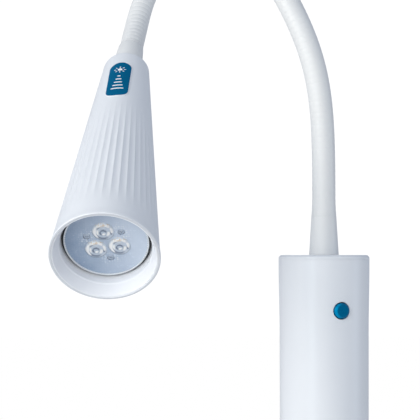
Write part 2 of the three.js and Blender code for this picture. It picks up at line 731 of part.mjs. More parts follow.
/** Scoops a shallow groove between each pair of ridges, fading out towards both ends of the flutes. */
function flute(geometry) {
  const position = geometry.attributes.position;
  for (let i = 0; i < position.count; i += 1) {
    const [x, y, depth] = [position.getX(i), position.getY(i), -position.getZ(i)];
    const radius = Math.hypot(x, y);
    const step = Math.round(((Math.atan2(y, x) - FLUTE_TURN) / (2 * Math.PI)) * CONE_SEGMENTS);
    const fade = Math.min((depth - FLUTE_START) / FLUTE_FADE, (FLUTE_END - depth) / FLUTE_FADE, 1);
    const outside = radius > coneRadius(depth) - HEAD_WALL / 2;
    if (outside && fade > 0 && Math.abs(step) % 2 === 1) {
      const scale = (radius - FLUTE_DEPTH * fade) / radius;
      position.setXY(i, x * scale, y * scale);
    }
  }
  return geometry;
}

function headShell() {
  const inner = (depth) => coneRadius(depth) - HEAD_WALL;
  const shelf = BEZEL_BACK + GAP; // the bezel ring rests on a step, and the wall is thinner from there on
  const rows = [LIP_LENGTH, FLUTE_START + FLUTE_FADE, FLUTE_END - FLUTE_FADE, FLUTE_END];
  const rear = HEAD_LENGTH;
  const neckHole = FERRULE_THREAD + 2 * GAP;
  return flute(turned([
    [MOUTH_RADIUS - LIP, 0], [MOUTH_RADIUS + LIP_FLARE - 0.6, 0], [MOUTH_RADIUS + LIP_FLARE, -0.6],
    [coneRadius(LIP_LENGTH / 2) + LIP_FLARE / 3, -LIP_LENGTH / 2],
    ...rows.map((depth) => [coneRadius(depth), -depth]),
    [coneRadius(rear - SHOULDER), -(rear - SHOULDER)], [coneRadius(rear) - 1.1, -(rear - 1.2)],
    [coneRadius(rear) - SHOULDER, -rear], [neckHole, -rear], [neckHole, -(rear - HEAD_WALL)],
    [inner(rear) - 2, -(rear - HEAD_WALL)], [inner(rear - 6), -(rear - 6)], [inner(shelf), -shelf],
    [coneRadius(shelf) - LIP, -shelf],
  ], CONE_SEGMENTS).rotateZ(FLUTE_TURN));
}

/** A thin plate that follows the cone; its outline is square-cut along the badge's own direction. */
function badge() {
  const low = BADGE_LOW - 1;
  const high = BADGE_HIGH + 1;
  const [under, over] = [GAP, 1];
  const skin = turned([
    [coneRadius(low) + under, -low], [coneRadius(low) + over, -low], [coneRadius(high) + over, -high],
    [coneRadius(high) + under, -high],
  ], CONE_SEGMENTS);
  const half = BADGE_WIDTH / 2;
  const side = half - BADGE_CORNER;
  const outline = new THREE.Shape();
  outline.absarc(BADGE_HIGH - half, 0, half, -Math.PI / 2, Math.PI / 2);
  outline.absarc(BADGE_LOW + BADGE_CORNER, side, BADGE_CORNER, Math.PI / 2, Math.PI);
  outline.absarc(BADGE_LOW + BADGE_CORNER, -side, BADGE_CORNER, Math.PI, 1.5 * Math.PI);
  const prism = pushed(outline, 5, 40, 5).rotateY(Math.PI / 2).rotateZ(BADGE_ANGLE);
  return common(skin, prism);
}

const LENS_BACK = LENS_DEPTH + LENS_THICKNESS;
const SEAL_BACK = LENS_BACK + GAP + 0.8;
const SEAT_RADIUS = LENS_RADIUS - 2; // of the ledge behind the lens cover

/** The flared ring that lines the mouth; its ledge holds the lens cover, with a well round the cover. */
function bezelRing() {
  const outer = (depth) => coneRadius(depth) - LIP - GAP;
  const ledge = SEAL_BACK + GAP;
  return turned([
    [outer(BEZEL_FACE) - 0.5, -BEZEL_FACE], [outer(BEZEL_FACE), -BEZEL_FACE],
    [outer(BEZEL_BACK), -BEZEL_BACK], [SEAT_RADIUS, -BEZEL_BACK], [SEAT_RADIUS, -ledge],
    [WELL_RADIUS, -ledge], [BEZEL_EDGE_RADIUS, -BEZEL_EDGE],
  ], 40);
}

/** One piece from make() for each of the three long screws. */
function atLongScrews(make) {
  return LONG_SCREW_ANGLES.map((angle) => make().translate(...onCircle(LONG_SCREW_CIRCLE, angle)));
}

const SCREW_HEAD_RADIUS = 2;
const SCREW_SINK = 1.4; // depth of the hollows for the long screws' heads

/** The lens cover, open over the three optics, with a sunk hole for each long screw. */
function lensCover() {
  const [face, back] = [-LENS_DEPTH, -LENS_BACK];
  const disc = turned([
    [0, face], [LENS_RADIUS - 0.6, face], [LENS_RADIUS, face - 0.6], [LENS_RADIUS, back], [0, back],
  ], 28);
  const openings = OPTIC_ANGLES.map((angle) => rod(OPTIC_RADIUS + GAP, back - 1, face + 1, 24)
    .translate(...onCircle(OPTIC_CIRCLE, angle)));
  const sinkFloor = face - SCREW_SINK;
  const screwHoles = atLongScrews(() => turned([
    [0, back - 1], [LONG_SCREW_HOLE, back - 1], [LONG_SCREW_HOLE, sinkFloor],
    [SCREW_HEAD_RADIUS + GAP, sinkFloor], [SCREW_HEAD_RADIUS + GAP, face + 1], [0, face + 1],
  ], 12));
  return cut(disc, ...openings, ...screwHoles);
}

/** A flat seal between the lens cover and the ledge, which also covers the floor of the well. */
function lensSeal() {
  return tube(WELL_RADIUS - GAP, SEAT_RADIUS, -SEAL_BACK, -LENS_BACK - GAP, 40);
}

/** A collimator: its dome stands out of the lens cover, and it narrows back to a pocket over its LED. */
function optic() {
  const crown = -LENS_DEPTH + 1.3;
  const flange = -LENS_BACK - 3.2;
  return turned([
    [0, crown], [3.6, crown - 0.5], [5.5, crown - 1.8], [OPTIC_RADIUS, crown - 3.6],
    [OPTIC_RADIUS, flange], [4.6, -25], [3.4, -28.4], [2.9, -28.4], [2.6, -25.6], [0, -25.2],
  ], 14);
}

/** The light-emitting chip under its own small dome. */
function led() {
  const foot = -LED_BOARD_DEPTH + GAP;
  const half = 1.75;
  const base = block([-half, -half, foot], [half, half, foot + 1]);
  const dome = turned([[0, foot + 0.8], [1.4, foot + 0.8], [1.1, foot + 1.7], [0, foot + 2.1]], 10);
  return join(base, dome);
}

function ledBoard() {
  const [back, face] = [-LED_BOARD_DEPTH - LED_BOARD_THICKNESS, -LED_BOARD_DEPTH];
  const holes = atLongScrews(() => rod(LONG_SCREW_HOLE, back - 1, face + 1, 6));
  return cut(rod(24, back, face, 32), ...holes);
}

/** A long screw, from its hollow in the lens cover through the LED board into the heat sink. */
function longScrew() {
  const [face, seat] = [-LENS_DEPTH - GAP, -LENS_DEPTH - SCREW_SINK + GAP];
  const tip = -SINK_DEPTH - LONG_SCREW_BITE;
  return turned([
    [0, face], [SCREW_HEAD_RADIUS, face], [SCREW_HEAD_RADIUS, seat], [LONG_SCREW_RADIUS, seat],
    [LONG_SCREW_RADIUS, tip], [0, tip],
  ], 8);
}

/** A finned heat sink: a disc that fills the cone, and eight fins round a bored column behind it. */
function heatSink() {
  const fins = 8;
  const half = 0.9;
  const [inner, outer] = [8, 21];
  const star = new THREE.Shape();
  for (let i = 0; i < fins; i += 1) {
    const angle = (2 * Math.PI * i) / fins;
    const corners = [[inner, -half], [outer, -half], [outer, half], [inner, half]];
    corners.forEach(([along, side], j) => {
      const x = along * Math.cos(angle) - side * Math.sin(angle);
      const y = along * Math.sin(angle) + side * Math.cos(angle);
      if (i === 0 && j === 0) star.moveTo(x, y);
      else star.lineTo(x, y);
    });
  }
  const [face, back] = [-SINK_DEPTH, -SINK_DEPTH - SINK_FIN_LENGTH];
  const disc = rod(26.6, face - 3.5, face, 34);
  const body = join(disc, pushed(star, back, face - 3));
  const pilots = atLongScrews(() => rod(LONG_SCREW_HOLE, face - LONG_SCREW_BITE - 1, face + 1, 6));
  return cut(body, rod(2.4, back - 1, face + 1, 12), ...pilots);
}

/** The lead from the neck's core, through the heat sink's column, to the back of the LED board. */
function headLead() {
  const route = [[0, 0, -183.5], [1, 1, -150], [0, 0, -100], [0, 0, -66], [0, 0, -SINK_DEPTH - GAP]];
  return lead(route, 1.4, 14);
}

function makeHead() {
  const optics = OPTIC_ANGLES.flatMap((angle, i) => {
    const pair = [node(`optic_${i + 1}`, optic(), 'clear'), node(`led_${i + 1}`, led(), 'emitter')];
    pair.forEach((piece) => piece.position.set(...onCircle(OPTIC_CIRCLE, angle)));
    return pair;
  });
  const screws = LONG_SCREW_ANGLES.map((angle, i) => {
    const screw = node(`long_screw_${i + 1}`, longScrew(), 'steel');
    screw.position.set(...onCircle(LONG_SCREW_CIRCLE, angle));
    return screw;
  });
  const head = groupOf(
    node('head_shell', headShell(), 'white'),
    node('badge', badge(), 'blue'),
    node('bezel_ring', bezelRing(), 'white'),
    node('lens_cover', lensCover(), 'frost'),
    node('lens_seal', lensSeal(), 'rubber'),
    node('led_board', ledBoard(), 'board'),
    node('heat_sink', heatSink(), 'sink'),
    node('head_lead', headLead(), 'black'),
    optics,
    screws,
  );
  const beam = new THREE.Vector3(
    Math.sin(MOUTH_TURN) * Math.cos(MOUTH_DIP),
    -Math.cos(MOUTH_TURN) * Math.cos(MOUTH_DIP),
    -Math.sin(MOUTH_DIP),
  );
  const right = new THREE.Vector3(1, 0, 0).addScaledVector(beam, -beam.x).normalize();
  const up = beam.clone().cross(right);
  head.quaternion.setFromRotationMatrix(new THREE.Matrix4().makeBasis(right, up, beam));
  head.position.copy(MOUTH_CENTRE).z += BASE_TOP;
  return head;
}

// ---------------------------------------------------------------- assembly

export default groupOf(makeClamp(), makeBase(), makeNeck(), makeHead());
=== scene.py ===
"""Surgical examination light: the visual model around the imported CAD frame.

Outlines are in millimetres and are scaled to metres as each mesh is made. +Z is up, +Y is to the rear.
"""

import math

import bmesh
import bpy
import numpy as np
from mathutils import Matrix, Vector


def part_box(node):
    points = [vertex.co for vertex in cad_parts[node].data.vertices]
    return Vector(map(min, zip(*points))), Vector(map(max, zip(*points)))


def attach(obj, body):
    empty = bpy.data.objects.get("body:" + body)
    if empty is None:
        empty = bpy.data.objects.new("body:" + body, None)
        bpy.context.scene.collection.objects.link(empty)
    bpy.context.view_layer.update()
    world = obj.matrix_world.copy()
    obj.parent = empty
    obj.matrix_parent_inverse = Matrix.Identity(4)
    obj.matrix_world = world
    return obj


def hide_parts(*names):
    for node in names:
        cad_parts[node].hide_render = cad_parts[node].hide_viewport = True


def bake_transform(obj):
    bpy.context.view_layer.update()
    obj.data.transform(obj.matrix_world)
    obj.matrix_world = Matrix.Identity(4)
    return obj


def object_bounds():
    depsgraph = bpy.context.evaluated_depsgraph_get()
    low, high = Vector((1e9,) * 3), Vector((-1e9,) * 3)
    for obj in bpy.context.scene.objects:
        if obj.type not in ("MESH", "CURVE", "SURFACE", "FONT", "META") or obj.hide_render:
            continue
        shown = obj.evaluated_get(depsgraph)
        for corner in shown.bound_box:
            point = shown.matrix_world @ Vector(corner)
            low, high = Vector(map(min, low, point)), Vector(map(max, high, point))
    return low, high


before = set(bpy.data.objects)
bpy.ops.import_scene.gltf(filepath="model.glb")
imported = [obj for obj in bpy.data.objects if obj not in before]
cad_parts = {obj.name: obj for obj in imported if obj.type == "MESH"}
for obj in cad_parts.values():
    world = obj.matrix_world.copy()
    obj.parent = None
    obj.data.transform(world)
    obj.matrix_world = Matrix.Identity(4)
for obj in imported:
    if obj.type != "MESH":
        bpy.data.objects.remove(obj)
cad_low, cad_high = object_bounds()
scene = bpy.context.scene

# ---------------------------------------------------------------- driving dimensions (mm)

MM = 0.001
BASE_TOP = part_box("top_cap")[1].z / MM
BASE_RADIUS = 30
BASE_FOOT_RADIUS = 29.4
BASE_LENGTH = 154
LID_FLARE = 0.25  # how far the lid stands out beyond BASE_RADIUS
LID_HEIGHT = 2.7
BUTTON_ANGLE = math.radians(18.9)  # turned from the front towards +X
BUTTON_DROP = 36.3
BUTTON_HOLE_RADIUS = 5.75
JACK_DROP = 132
JACK_HOLE_RADIUS = 5.3
FOOT_SCREW_CIRCLE = 23.4

HEAD_ORIGIN = (-137.2, -150, BASE_TOP - 1.3)  # the middle of the mouth
HEAD_TURN = math.radians(-2.1)
HEAD_DIP = math.radians(39.9)
MOUTH_RADIUS = 32.5
CONE_TANGENT = math.tan(math.radians(5.15))
HEAD_LENGTH = 195
LIP_FLARE = 0.55  # how far the mouth's rim swells beyond the cone
LIP_LENGTH = 7
WALL = 2
FLUTES = 40
FLUTE_DEPTH = 0.5
FLUTE_TURN = math.radians(4)
LENS_DEPTH = 13.7
LENS_THICKNESS = 1.5
LENS_DISC_RADIUS = 24.3
OPTIC_RADIUS = 6.6
OPTIC_CIRCLE = 8.2
OPTIC_ANGLES = [math.radians(a) for a in (101, 221, 341)]
LENS_SCREW_CIRCLE = 12
LENS_SCREW_ANGLES = [math.radians(a) for a in (41, 161, 281)]
BADGE_ANGLE = math.radians(96.5)
BADGE_LOW, BADGE_HIGH, BADGE_WIDTH = 135.2, 178.2, 14.3
BADGE_LIFT = 0.5  # the outline's height above the cone

NECK_HINGES = 8
SHEATH_START = 42
SHEATH_END = 33.6  # back from the gooseneck's far end
SHEATH_BORE = 7.25
RIBS_PER_LINK = 11
FERRULE_END = 10.3  # back from the gooseneck's far end
FERRULE_LENGTH = 25

THREAD_PITCH = 1.5
THREAD_DEPTH = 0.62

# ---------------------------------------------------------------- camera


def make_camera():
    data = bpy.data.cameras.new("camera")
    data.sensor_width = 36
    data.lens = 147.72
    data.clip_start, data.clip_end = 0.01, 60
    camera = bpy.data.objects.new("camera", data)
    camera.location = (-0.0760, -1.150, 0.196)
    camera.rotation_euler = (math.radians(90 + 1.4957), 0, 0)
    scene.collection.objects.link(camera)
    scene.camera = camera


make_camera()

# ---------------------------------------------------------------- places


def shift(x, y, z):
    return Matrix.Translation((x, y, z))


def basis(x, y, z, origin):
    """The frame with these axes at that origin."""
    return Matrix.Translation(origin) @ Matrix((x, y, z)).transposed().to_4x4()


def head_place():
    """The head's own frame: +Z is the beam, the mouth is at z = 0 and depths are negative."""
    beam = Vector((
        math.sin(HEAD_TURN) * math.cos(HEAD_DIP),
        -math.cos(HEAD_TURN) * math.cos(HEAD_DIP),
        -math.sin(HEAD_DIP),
    ))
    right = (Vector((1, 0, 0)) - beam * beam.x).normalized()
    return basis(right, beam.cross(right), beam, HEAD_ORIGIN)


def button_place():
    """+Z points out of the base through the button's centre."""
    out = Vector((math.sin(BUTTON_ANGLE), -math.cos(BUTTON_ANGLE), 0))
    side = Vector((0, 0, 1)).cross(out)
    return basis(side, Vector((0, 0, 1)), out, (0, 0, BASE_TOP - BUTTON_DROP))


def jack_place():
    """+Z points out of the base's back through the inlet's centre."""
    return basis(Vector((-1, 0, 0)), Vector((0, 0, 1)), Vector((0, 1, 0)), (0, 0, BASE_TOP - JACK_DROP))


BASE = shift(0, 0, BASE_TOP)
HEAD = head_place()
BUTTON = button_place()
JACK = jack_place()


def on_circle(radius, angle):
    return radius * math.cos(angle), radius * math.sin(angle), 0


# ---------------------------------------------------------------- materials


def new_material(name):
    material = bpy.data.materials.new(name)
    material.use_nodes = True
    tree = material.node_tree
    return material, tree, tree.nodes["Principled BSDF"]


def noise(tree, scale, detail, roughness=0.6):
    """A noise factor in the object's own coordinates, so that it stays put as the piece moves."""
    place = tree.nodes.new("ShaderNodeTexCoord")
    texture = tree.nodes.new("ShaderNodeTexNoise")
    texture.inputs["Scale"].default_value = scale
    texture.inputs["Detail"].default_value = detail
    texture.inputs["Roughness"].default_value = roughness
    tree.links.new(place.outputs["Object"], texture.inputs["Vector"])
    return texture.outputs["Fac"]


def spread_over(tree, factor, low, high, start=0.3, end=0.7):
    """Maps a factor between start and end to the values low and high."""
    spread = tree.nodes.new("ShaderNodeMapRange")
    for name, value in (("From Min", start), ("From Max", end), ("To Min", low), ("To Max", high)):
        spread.inputs[name].default_value = value
    tree.links.new(factor, spread.inputs["Value"])
    return spread.outputs["Result"]


def mixed(tree, factor, first, second):
    """Mixes two colours, each a tuple or a node's output."""
    mix = tree.nodes.new("ShaderNodeMix")
    mix.data_type = "RGBA"
    tree.links.new(factor, mix.inputs["Factor"])
    for socket, colour in ((mix.inputs["A"], first), (mix.inputs["B"], second)):
        if isinstance(colour, tuple):
            socket.default_value = (*colour, 1)
        else:
            tree.links.new(colour, socket)
    return mix.outputs["Result"]


def scaled(colour, factor):
    return tuple(min(1.0, channel * factor) for channel in colour)


def bumped(tree, shader, height, depth, strength=1.0):
    bump = tree.nodes.new("ShaderNodeBump")
    bump.inputs["Distance"].default_value = depth
    bump.inputs["Strength"].default_value = strength
    tree.links.new(height, bump.inputs["Height"])
    tree.links.new(bump.outputs["Normal"], shader.inputs["Normal"])


def surface(name, *, colour, roughness, mottle=0.02, grain=1500, depth=1e-5, spread=0.05,
            metallic=0.0, coat=0.0, ior=1.5, sheen_tint=(1, 1, 1), worn=None, groove=None):
    """Moulded or machined stock: mottled colour, uneven gloss, a fine grain, worn edges and tinted grooves.
    """
    material, tree, shader = new_material(name)
    tint = mixed(tree, spread_over(tree, noise(tree, 45, 4), 0, 1),
                 scaled(colour, 1 - mottle), scaled(colour, 1 + mottle))
    if worn or groove:
        edge = tree.nodes.new("ShaderNodeNewGeometry").outputs["Pointiness"]
        if worn:
            tint = mixed(tree, spread_over(tree, edge, 0, 0.35, 0.52, 0.62), tint, worn)
        # Painted shade: a darker groove colour darkens creases and hollows; a lighter one, as on rubber, is
        # dust.
        if groove:
            tint = mixed(tree, spread_over(tree, edge, 0.5, 0, 0.40, 0.495), tint, groove)
    tree.links.new(tint, shader.inputs["Base Color"])
    gloss = spread_over(tree, noise(tree, 160, 6), roughness - spread, roughness + spread)
    tree.links.new(gloss, shader.inputs["Roughness"])
    shader.inputs["Metallic"].default_value = metallic
    shader.inputs["Coat Weight"].default_value = coat
    shader.inputs["Coat Roughness"].default_value = 0.12
    shader.inputs["IOR"].default_value = ior
    shader.inputs["Specular Tint"].default_value = (*sheen_tint, 1)
    bumped(tree, shader, noise(tree, grain, 2), depth)
    return material


def across(tree, axis):
    """The object's own X, Y or Z coordinate."""
    place = tree.nodes.new("ShaderNodeTexCoord")
    parts = tree.nodes.new("ShaderNodeSeparateXYZ")
    tree.links.new(place.outputs["Object"], parts.inputs["Vector"])
    return parts.outputs[axis]


def worked_out(tree, operation, *values):
    """A Math node over outputs and numbers."""
    node = tree.nodes.new("ShaderNodeMath")
    node.operation = operation
    for socket, value in zip(node.inputs, values):
        if isinstance(value, (int, float)):
            socket.default_value = value
        else:
            tree.links.new(value, socket)
    return node.outputs["Value"]


def polar(tree):
    """The distance from the object's own Z axis, and the angle round it."""
    x, y = across(tree, "X"), across(tree, "Y")
    squares = worked_out(tree, "MULTIPLY_ADD", x, x, worked_out(tree, "MULTIPLY", y, y))
    return worked_out(tree, "SQRT", squares), worked_out(tree, "ARCTAN2", y, x)


def glint(tree, angle, radius, towards, spread, distance, width):
    """1 on a soft patch at that angle (degrees) and distance from the axis (mm), and 0 round it."""
    facing = worked_out(tree, "COSINE", worked_out(tree, "SUBTRACT", angle, math.radians(towards)))
    beside = spread_over(tree, facing, 0, 1, math.cos(math.radians(spread)), 1)
    off = worked_out(tree, "ABSOLUTE", worked_out(tree, "SUBTRACT", radius, distance * MM))
    patch = worked_out(tree, "MULTIPLY", beside, spread_over(tree, off, 1, 0, 0, width * MM))
    return spread_over(tree, patch, 0, 1, 0.05, 0.55)


def frosted_lens():
    """Blue-grey polycarbonate, cloudy and paler to one side, with fine prisms moulded round its screws."""
    material, tree, shader = new_material("frosted_lens")
    cloud = noise(tree, 70, 3)
    lean = worked_out(tree, "MULTIPLY_ADD", across(tree, "Y"), 0.3, across(tree, "X"))
    slope = worked_out(tree, "MULTIPLY_ADD", cloud, 0.022, lean)
    paler = spread_over(tree, slope, 0, 1, -0.012, 0.030)
    tint = mixed(tree, paler, (0.25, 0.34, 0.48), (0.60, 0.68, 0.80))

    place = tree.nodes.new("ShaderNodeTexCoord")
    cells = tree.nodes.new("ShaderNodeTexVoronoi")
    cells.inputs["Scale"].default_value = 680
    cells.inputs["Randomness"].default_value = 0.4
    tree.links.new(place.outputs["Object"], cells.inputs["Vector"])
    prism = spread_over(tree, cells.outputs["Distance"], 1, 0, 0.15, 0.6)
    radius, angle = polar(tree)
    patch = 0.1
    for towards in LENS_SCREW_ANGLES:
        near = glint(tree, angle, radius, math.degrees(towards), 34, LENS_SCREW_CIRCLE, 6)
        patch = worked_out(tree, "MAXIMUM", near, patch)
    dots = worked_out(tree, "MULTIPLY", prism, patch)
    tint = mixed(tree, spread_over(tree, dots, 0, 0.9, 0, 0.8), tint, (0.80, 0.84, 0.88))

    tree.links.new(tint, shader.inputs["Base Color"])
    tree.links.new(spread_over(tree, noise(tree, 300, 3), 0.16, 0.30), shader.inputs["Roughness"])
    shader.inputs["Coat Weight"].default_value = 0.6
    shader.inputs["Coat Roughness"].default_value = 0.06
    bumped(tree, shader, dots, 8e-5, 0.5)
    return material


def button_blue():
    """Blue plastic, with a painted highlight on the left side of its rim."""
    material, tree, shader = new_material("button_blue")
    radius, angle = polar(tree)
    # Painted highlight: lighter blue on the rim's left side, where the key light falls.
    lit = glint(tree, angle, radius, 180, 95, 4.6, 1.3)
    grain = noise(tree, 1800, 2)
    tint = mixed(tree, spread_over(tree, grain, 0, 0.2), PETROL, (0.0004, 0.10, 0.22))
    tint = mixed(tree, lit, tint, (0.0006, 0.24, 0.48))
    tree.links.new(tint, shader.inputs["Base Color"])
    tree.links.new(spread_over(tree, noise(tree, 300, 3), 0.24, 0.32), shader.inputs["Roughness"])
    shader.inputs["Specular Tint"].default_value = (0, 0.6, 1, 1)
    bumped(tree, shader, grain, 5e-6, 0.5)
    return material


# Where a collimator's walls catch light and where they don't. Each patch is its direction and its spread in
# degrees, then its distance from the axis and its width in mm.
GLINTS = [
    (186, 40, 5.7, 1.3), (200, 34, 3.9, 0.9), (2, 34, 3.8, 1.1), (32, 26, 5.8, 1.0),
    (88, 34, 5.8, 1.0), (130, 30, 5.6, 1.0), (-50, 60, 1.5, 1.1), (225, 30, 5.6, 1.0),
]
SHADES = [
    (268, 70, 5.2, 1.2), (100, 95, 2.4, 0.8), (12, 20, 5.4, 0.9), (150, 24, 5.0, 0.8), (215, 60, 2.3, 0.6),
]


def clear_optic():
    """Clear acrylic: soft bright and dark patches round a collimator, as its walls bend the light about."""
    material, tree, shader = new_material("clear_optic")
    ripple = noise(tree, 330, 2)
    radius, angle = polar(tree)
    radius = worked_out(tree, "MULTIPLY_ADD", ripple, 0.0012, radius)
    angle = worked_out(tree, "MULTIPLY_ADD", ripple, 0.6, angle)
    tint = mixed(tree, spread_over(tree, noise(tree, 200, 2), 0, 1), (0.49, 0.57, 0.69), (0.68, 0.75, 0.85))
    for patches, colour in ((SHADES, (0.17, 0.22, 0.31)), (GLINTS, (1.0, 1.0, 1.0))):
        for patch in patches:
            tint = mixed(tree, glint(tree, angle, radius, *patch), tint, colour)
    upper = spread_over(tree, across(tree, "Y"), 0, 1, 0.0035, 0.0055)
    specks = spread_over(tree, noise(tree, 900, 2), 0, 0.8, 0.50, 0.60)
    tint = mixed(tree, worked_out(tree, "MULTIPLY", upper, specks), tint, (0.72, 0.50, 0.26))
    tree.links.new(tint, shader.inputs["Base Color"])
    tree.links.new(spread_over(tree, noise(tree, 400, 2), 0.03, 0.09), shader.inputs["Roughness"])
    shader.inputs["Transmission Weight"].default_value = 0.1
    shader.inputs["IOR"].default_value = 1.49
    shader.inputs["Coat Weight"].default_value = 1
    shader.inputs["Coat Roughness"].default_value = 0.03
    bumped(tree, shader, ripple, 2e-4, 0.5)
    return material


def emitter():
    """Yellow phosphor over the light-emitting chip, with its fine dots."""
    material, tree, shader = new_material("emitter")
    dots = mixed(tree, spread_over(tree, noise(tree, 2600, 2), 0, 1), (0.72, 0.50, 0.12), (0.85, 0.75, 0.35))
    tree.links.new(dots, shader.inputs["Base Color"])
    tree.links.new(spread_over(tree, noise(tree, 900, 2), 0.25, 0.5), shader.inputs["Roughness"])
    bumped(tree, shader, noise(tree, 3000, 2), 2e-5)
    return material


WHITE = (0.81, 0.835, 0.875)
PETROL = (0.0004, 0.115, 0.25)
# groove is painted shade, darker in the hollows of the white shell, the sheath and the clamp coat; on rubber
# it is lighter dust.
SURFACES = {
    "white_shell": dict(colour=WHITE, roughness=0.33, mottle=0.005, grain=2200, depth=2e-6, spread=0.015,
                        worn=(0.90, 0.915, 0.94), groove=(0.66, 0.69, 0.74)),
    # A darker copy of the shell's white: painted shade on the mouth's flat rim.
    "shaded_lip_white": dict(colour=(0.66, 0.685, 0.73), roughness=0.45, mottle=0.005, grain=2200, depth=2e-6),
    # A lighter copy of the shell's white: painted light on the mouth's inner wall.
    "lit_bezel_white": dict(colour=(0.885, 0.90, 0.94), roughness=0.40, mottle=0.005, grain=2200, depth=2e-6,
                        spread=0.02, worn=(0.96, 0.965, 0.975)),
    "neck_sheath": dict(colour=(0.79, 0.80, 0.805), roughness=0.36, mottle=0.01, grain=1600, depth=5e-6,
                        spread=0.02, worn=(0.86, 0.87, 0.875), groove=(0.58, 0.59, 0.61)),
    "badge_blue": dict(colour=PETROL, roughness=0.35, mottle=0.06, grain=1800, depth=5e-6, ior=1.06,
                       sheen_tint=(0.0, 0.45, 0.9)),
    "badge_print": dict(colour=(0.92, 0.92, 0.93), roughness=0.42, mottle=0.03),
    # A pale glossy rim; its light colour also paints the highlight along the lens cover's rounded edge.
    "lens_rim_highlight": dict(colour=(0.80, 0.84, 0.88), roughness=0.14, mottle=0.08, grain=900, depth=2e-5, coat=0.8),
    "lens_screw": dict(colour=(0.46, 0.53, 0.63), roughness=0.4, mottle=0.2, grain=900, depth=4e-5,
                       metallic=0.2),
    "white_board": dict(colour=(0.80, 0.81, 0.80), roughness=0.5, mottle=0.05),
    "green_board": dict(colour=(0.02, 0.14, 0.06), roughness=0.4, mottle=0.15, grain=800, depth=2e-5),
    "plated_steel": dict(colour=(0.60, 0.61, 0.63), roughness=0.26, mottle=0.06, grain=1100, metallic=1,
                         worn=(0.78, 0.78, 0.79)),
    "heat_sink": dict(colour=(0.42, 0.44, 0.47), roughness=0.42, mottle=0.08, grain=700, depth=2e-5,
                      metallic=0.9),
    "clamp_coat": dict(colour=(0.66, 0.68, 0.71), roughness=0.48, mottle=0.03, grain=900, depth=4e-5,
                       worn=(0.80, 0.81, 0.83), groove=(0.45, 0.46, 0.48)),
    "black_plastic": dict(colour=(0.018, 0.019, 0.022), roughness=0.5, mottle=0.2, grain=1000, depth=4e-5,
                          worn=(0.07, 0.07, 0.075)),
    "rubber": dict(colour=(0.035, 0.036, 0.040), roughness=0.82, mottle=0.2, grain=1300, depth=3e-5,
                   groove=(0.09, 0.088, 0.085)),
}
MATERIALS = {name: surface(name, **look) for name, look in SURFACES.items()}
MATERIALS |= {
    "button_blue": button_blue(),
    "frosted_lens": frosted_lens(),
    "clear_optic": clear_optic(),
    "emitter": emitter(),
}

# ---------------------------------------------------------------- mesh helpers


def smoothstep(t):
    """Rises smoothly from 0 to 1 as t does, and is level beyond."""
    t = np.clip(t, 0, 1)
    return t * t * (3 - 2 * t)


def rounded(outline, steps=5, closed=True):
    """An outline of (x, y) or (x, y, corner radius) points, with those corners rounded."""
    made = []
    count = len(outline)
    for i, corner in enumerate(outline):
        here = Vector(corner[:2])
        radius = corner[2] if len(corner) > 2 else 0
        if not radius or (not closed and i in (0, count - 1)):
            made.append((here.x, here.y))
            continue
        back = Vector(outline[i - 1][:2]) - here
        ahead = Vector(outline[(i + 1) % count][:2]) - here
        half = back.angle(ahead) / 2
        reach = min(radius / math.tan(half), 0.49 * back.length, 0.49 * ahead.length)
        back.normalize()
        ahead.normalize()
        middle = here + (back + ahead).normalized() * reach / math.cos(half)
        start, end = here + back * reach - middle, here + ahead * reach - middle
        turn = start.angle_signed(end)
        for k in range(steps + 1):
            spoke = start.copy()
            spoke.rotate(Matrix.Rotation(-turn * k / steps, 2))
            made.append((middle.x + spoke.x, middle.y + spoke.y))
    return made


def mesh_of(name, vertices, faces):
    """A mesh with its doubled vertices merged and its faces turned outwards."""
    mesh = bpy.data.meshes.new(name)
    mesh.from_pydata([tuple(v) for v in vertices], [], faces)
    work = bmesh.new()
    work.from_mesh(mesh)
    bmesh.ops.remove_doubles(work, verts=work.verts, dist=1e-4)
    bmesh.ops.recalc_face_normals(work, faces=work.faces)
    work.to_mesh(mesh)
    work.free()
    return mesh


def ring_faces(lower, upper):
    """Quads between two rings of vertex numbers; a ring of one number is a point on the axis."""
    count = max(len(lower), len(upper))
    faces = []
    for j in range(count):
        k = (j + 1) % count
        corners = [lower[j % len(lower)], lower[k % len(lower)], upper[k % len(upper)], upper[j % len(upper)]]
        faces.append(tuple(dict.fromkeys(corners)))
    return faces


def turned(name, outline, segments=96, change=None):
    """A mesh turned about Z from (radius, height) points. change(x, y, z) may move the vertices.

    An outline that starts off the axis is closed into a ring.
    """
    angles = np.arange(segments) * 2 * math.pi / segments
    vertices, rings = [], []
    for radius, height in outline:
        start = len(vertices)
        if radius < 1e-6:
            vertices.append((0, 0, height))
        else:
            vertices += [(radius * math.cos(a), radius * math.sin(a), height) for a in angles]
        rings.append(list(range(start, len(vertices))))
    faces = []
    for lower, upper in zip(rings, rings[1:]):
        if len(lower) > 1 or len(upper) > 1:
            faces += ring_faces(lower, upper)
    if outline[0][0] > 1e-6:
        faces += ring_faces(rings[-1], rings[0])
    points = np.array(vertices, float)
    if change:
        points = np.stack(change(*points.T), -1)
    return mesh_of(name, points, faces)


def slab(name, outline, low, high, edge):
    """A mesh pushed from a flat outline in XY between two heights, with rounded rims."""
    work = bmesh.new()
    bottom = work.faces.new([work.verts.new((x, y, low)) for x, y in outline])
    pushed = bmesh.ops.extrude_face_region(work, geom=[bottom])
    top = [item for item in pushed["geom"] if isinstance(item, bmesh.types.BMVert)]
    bmesh.ops.translate(work, vec=(0, 0, high - low), verts=top)
    rims = [e for e in work.edges if abs(e.verts[0].co.z - e.verts[1].co.z) < 1e-6]
    bmesh.ops.bevel(work, geom=rims, offset=edge, segments=3, profile=0.5, affect="EDGES", clamp_overlap=True)
    bmesh.ops.recalc_face_normals(work, faces=work.faces)
    mesh = bpy.data.meshes.new(name)
    work.to_mesh(mesh)
    work.free()
    return mesh


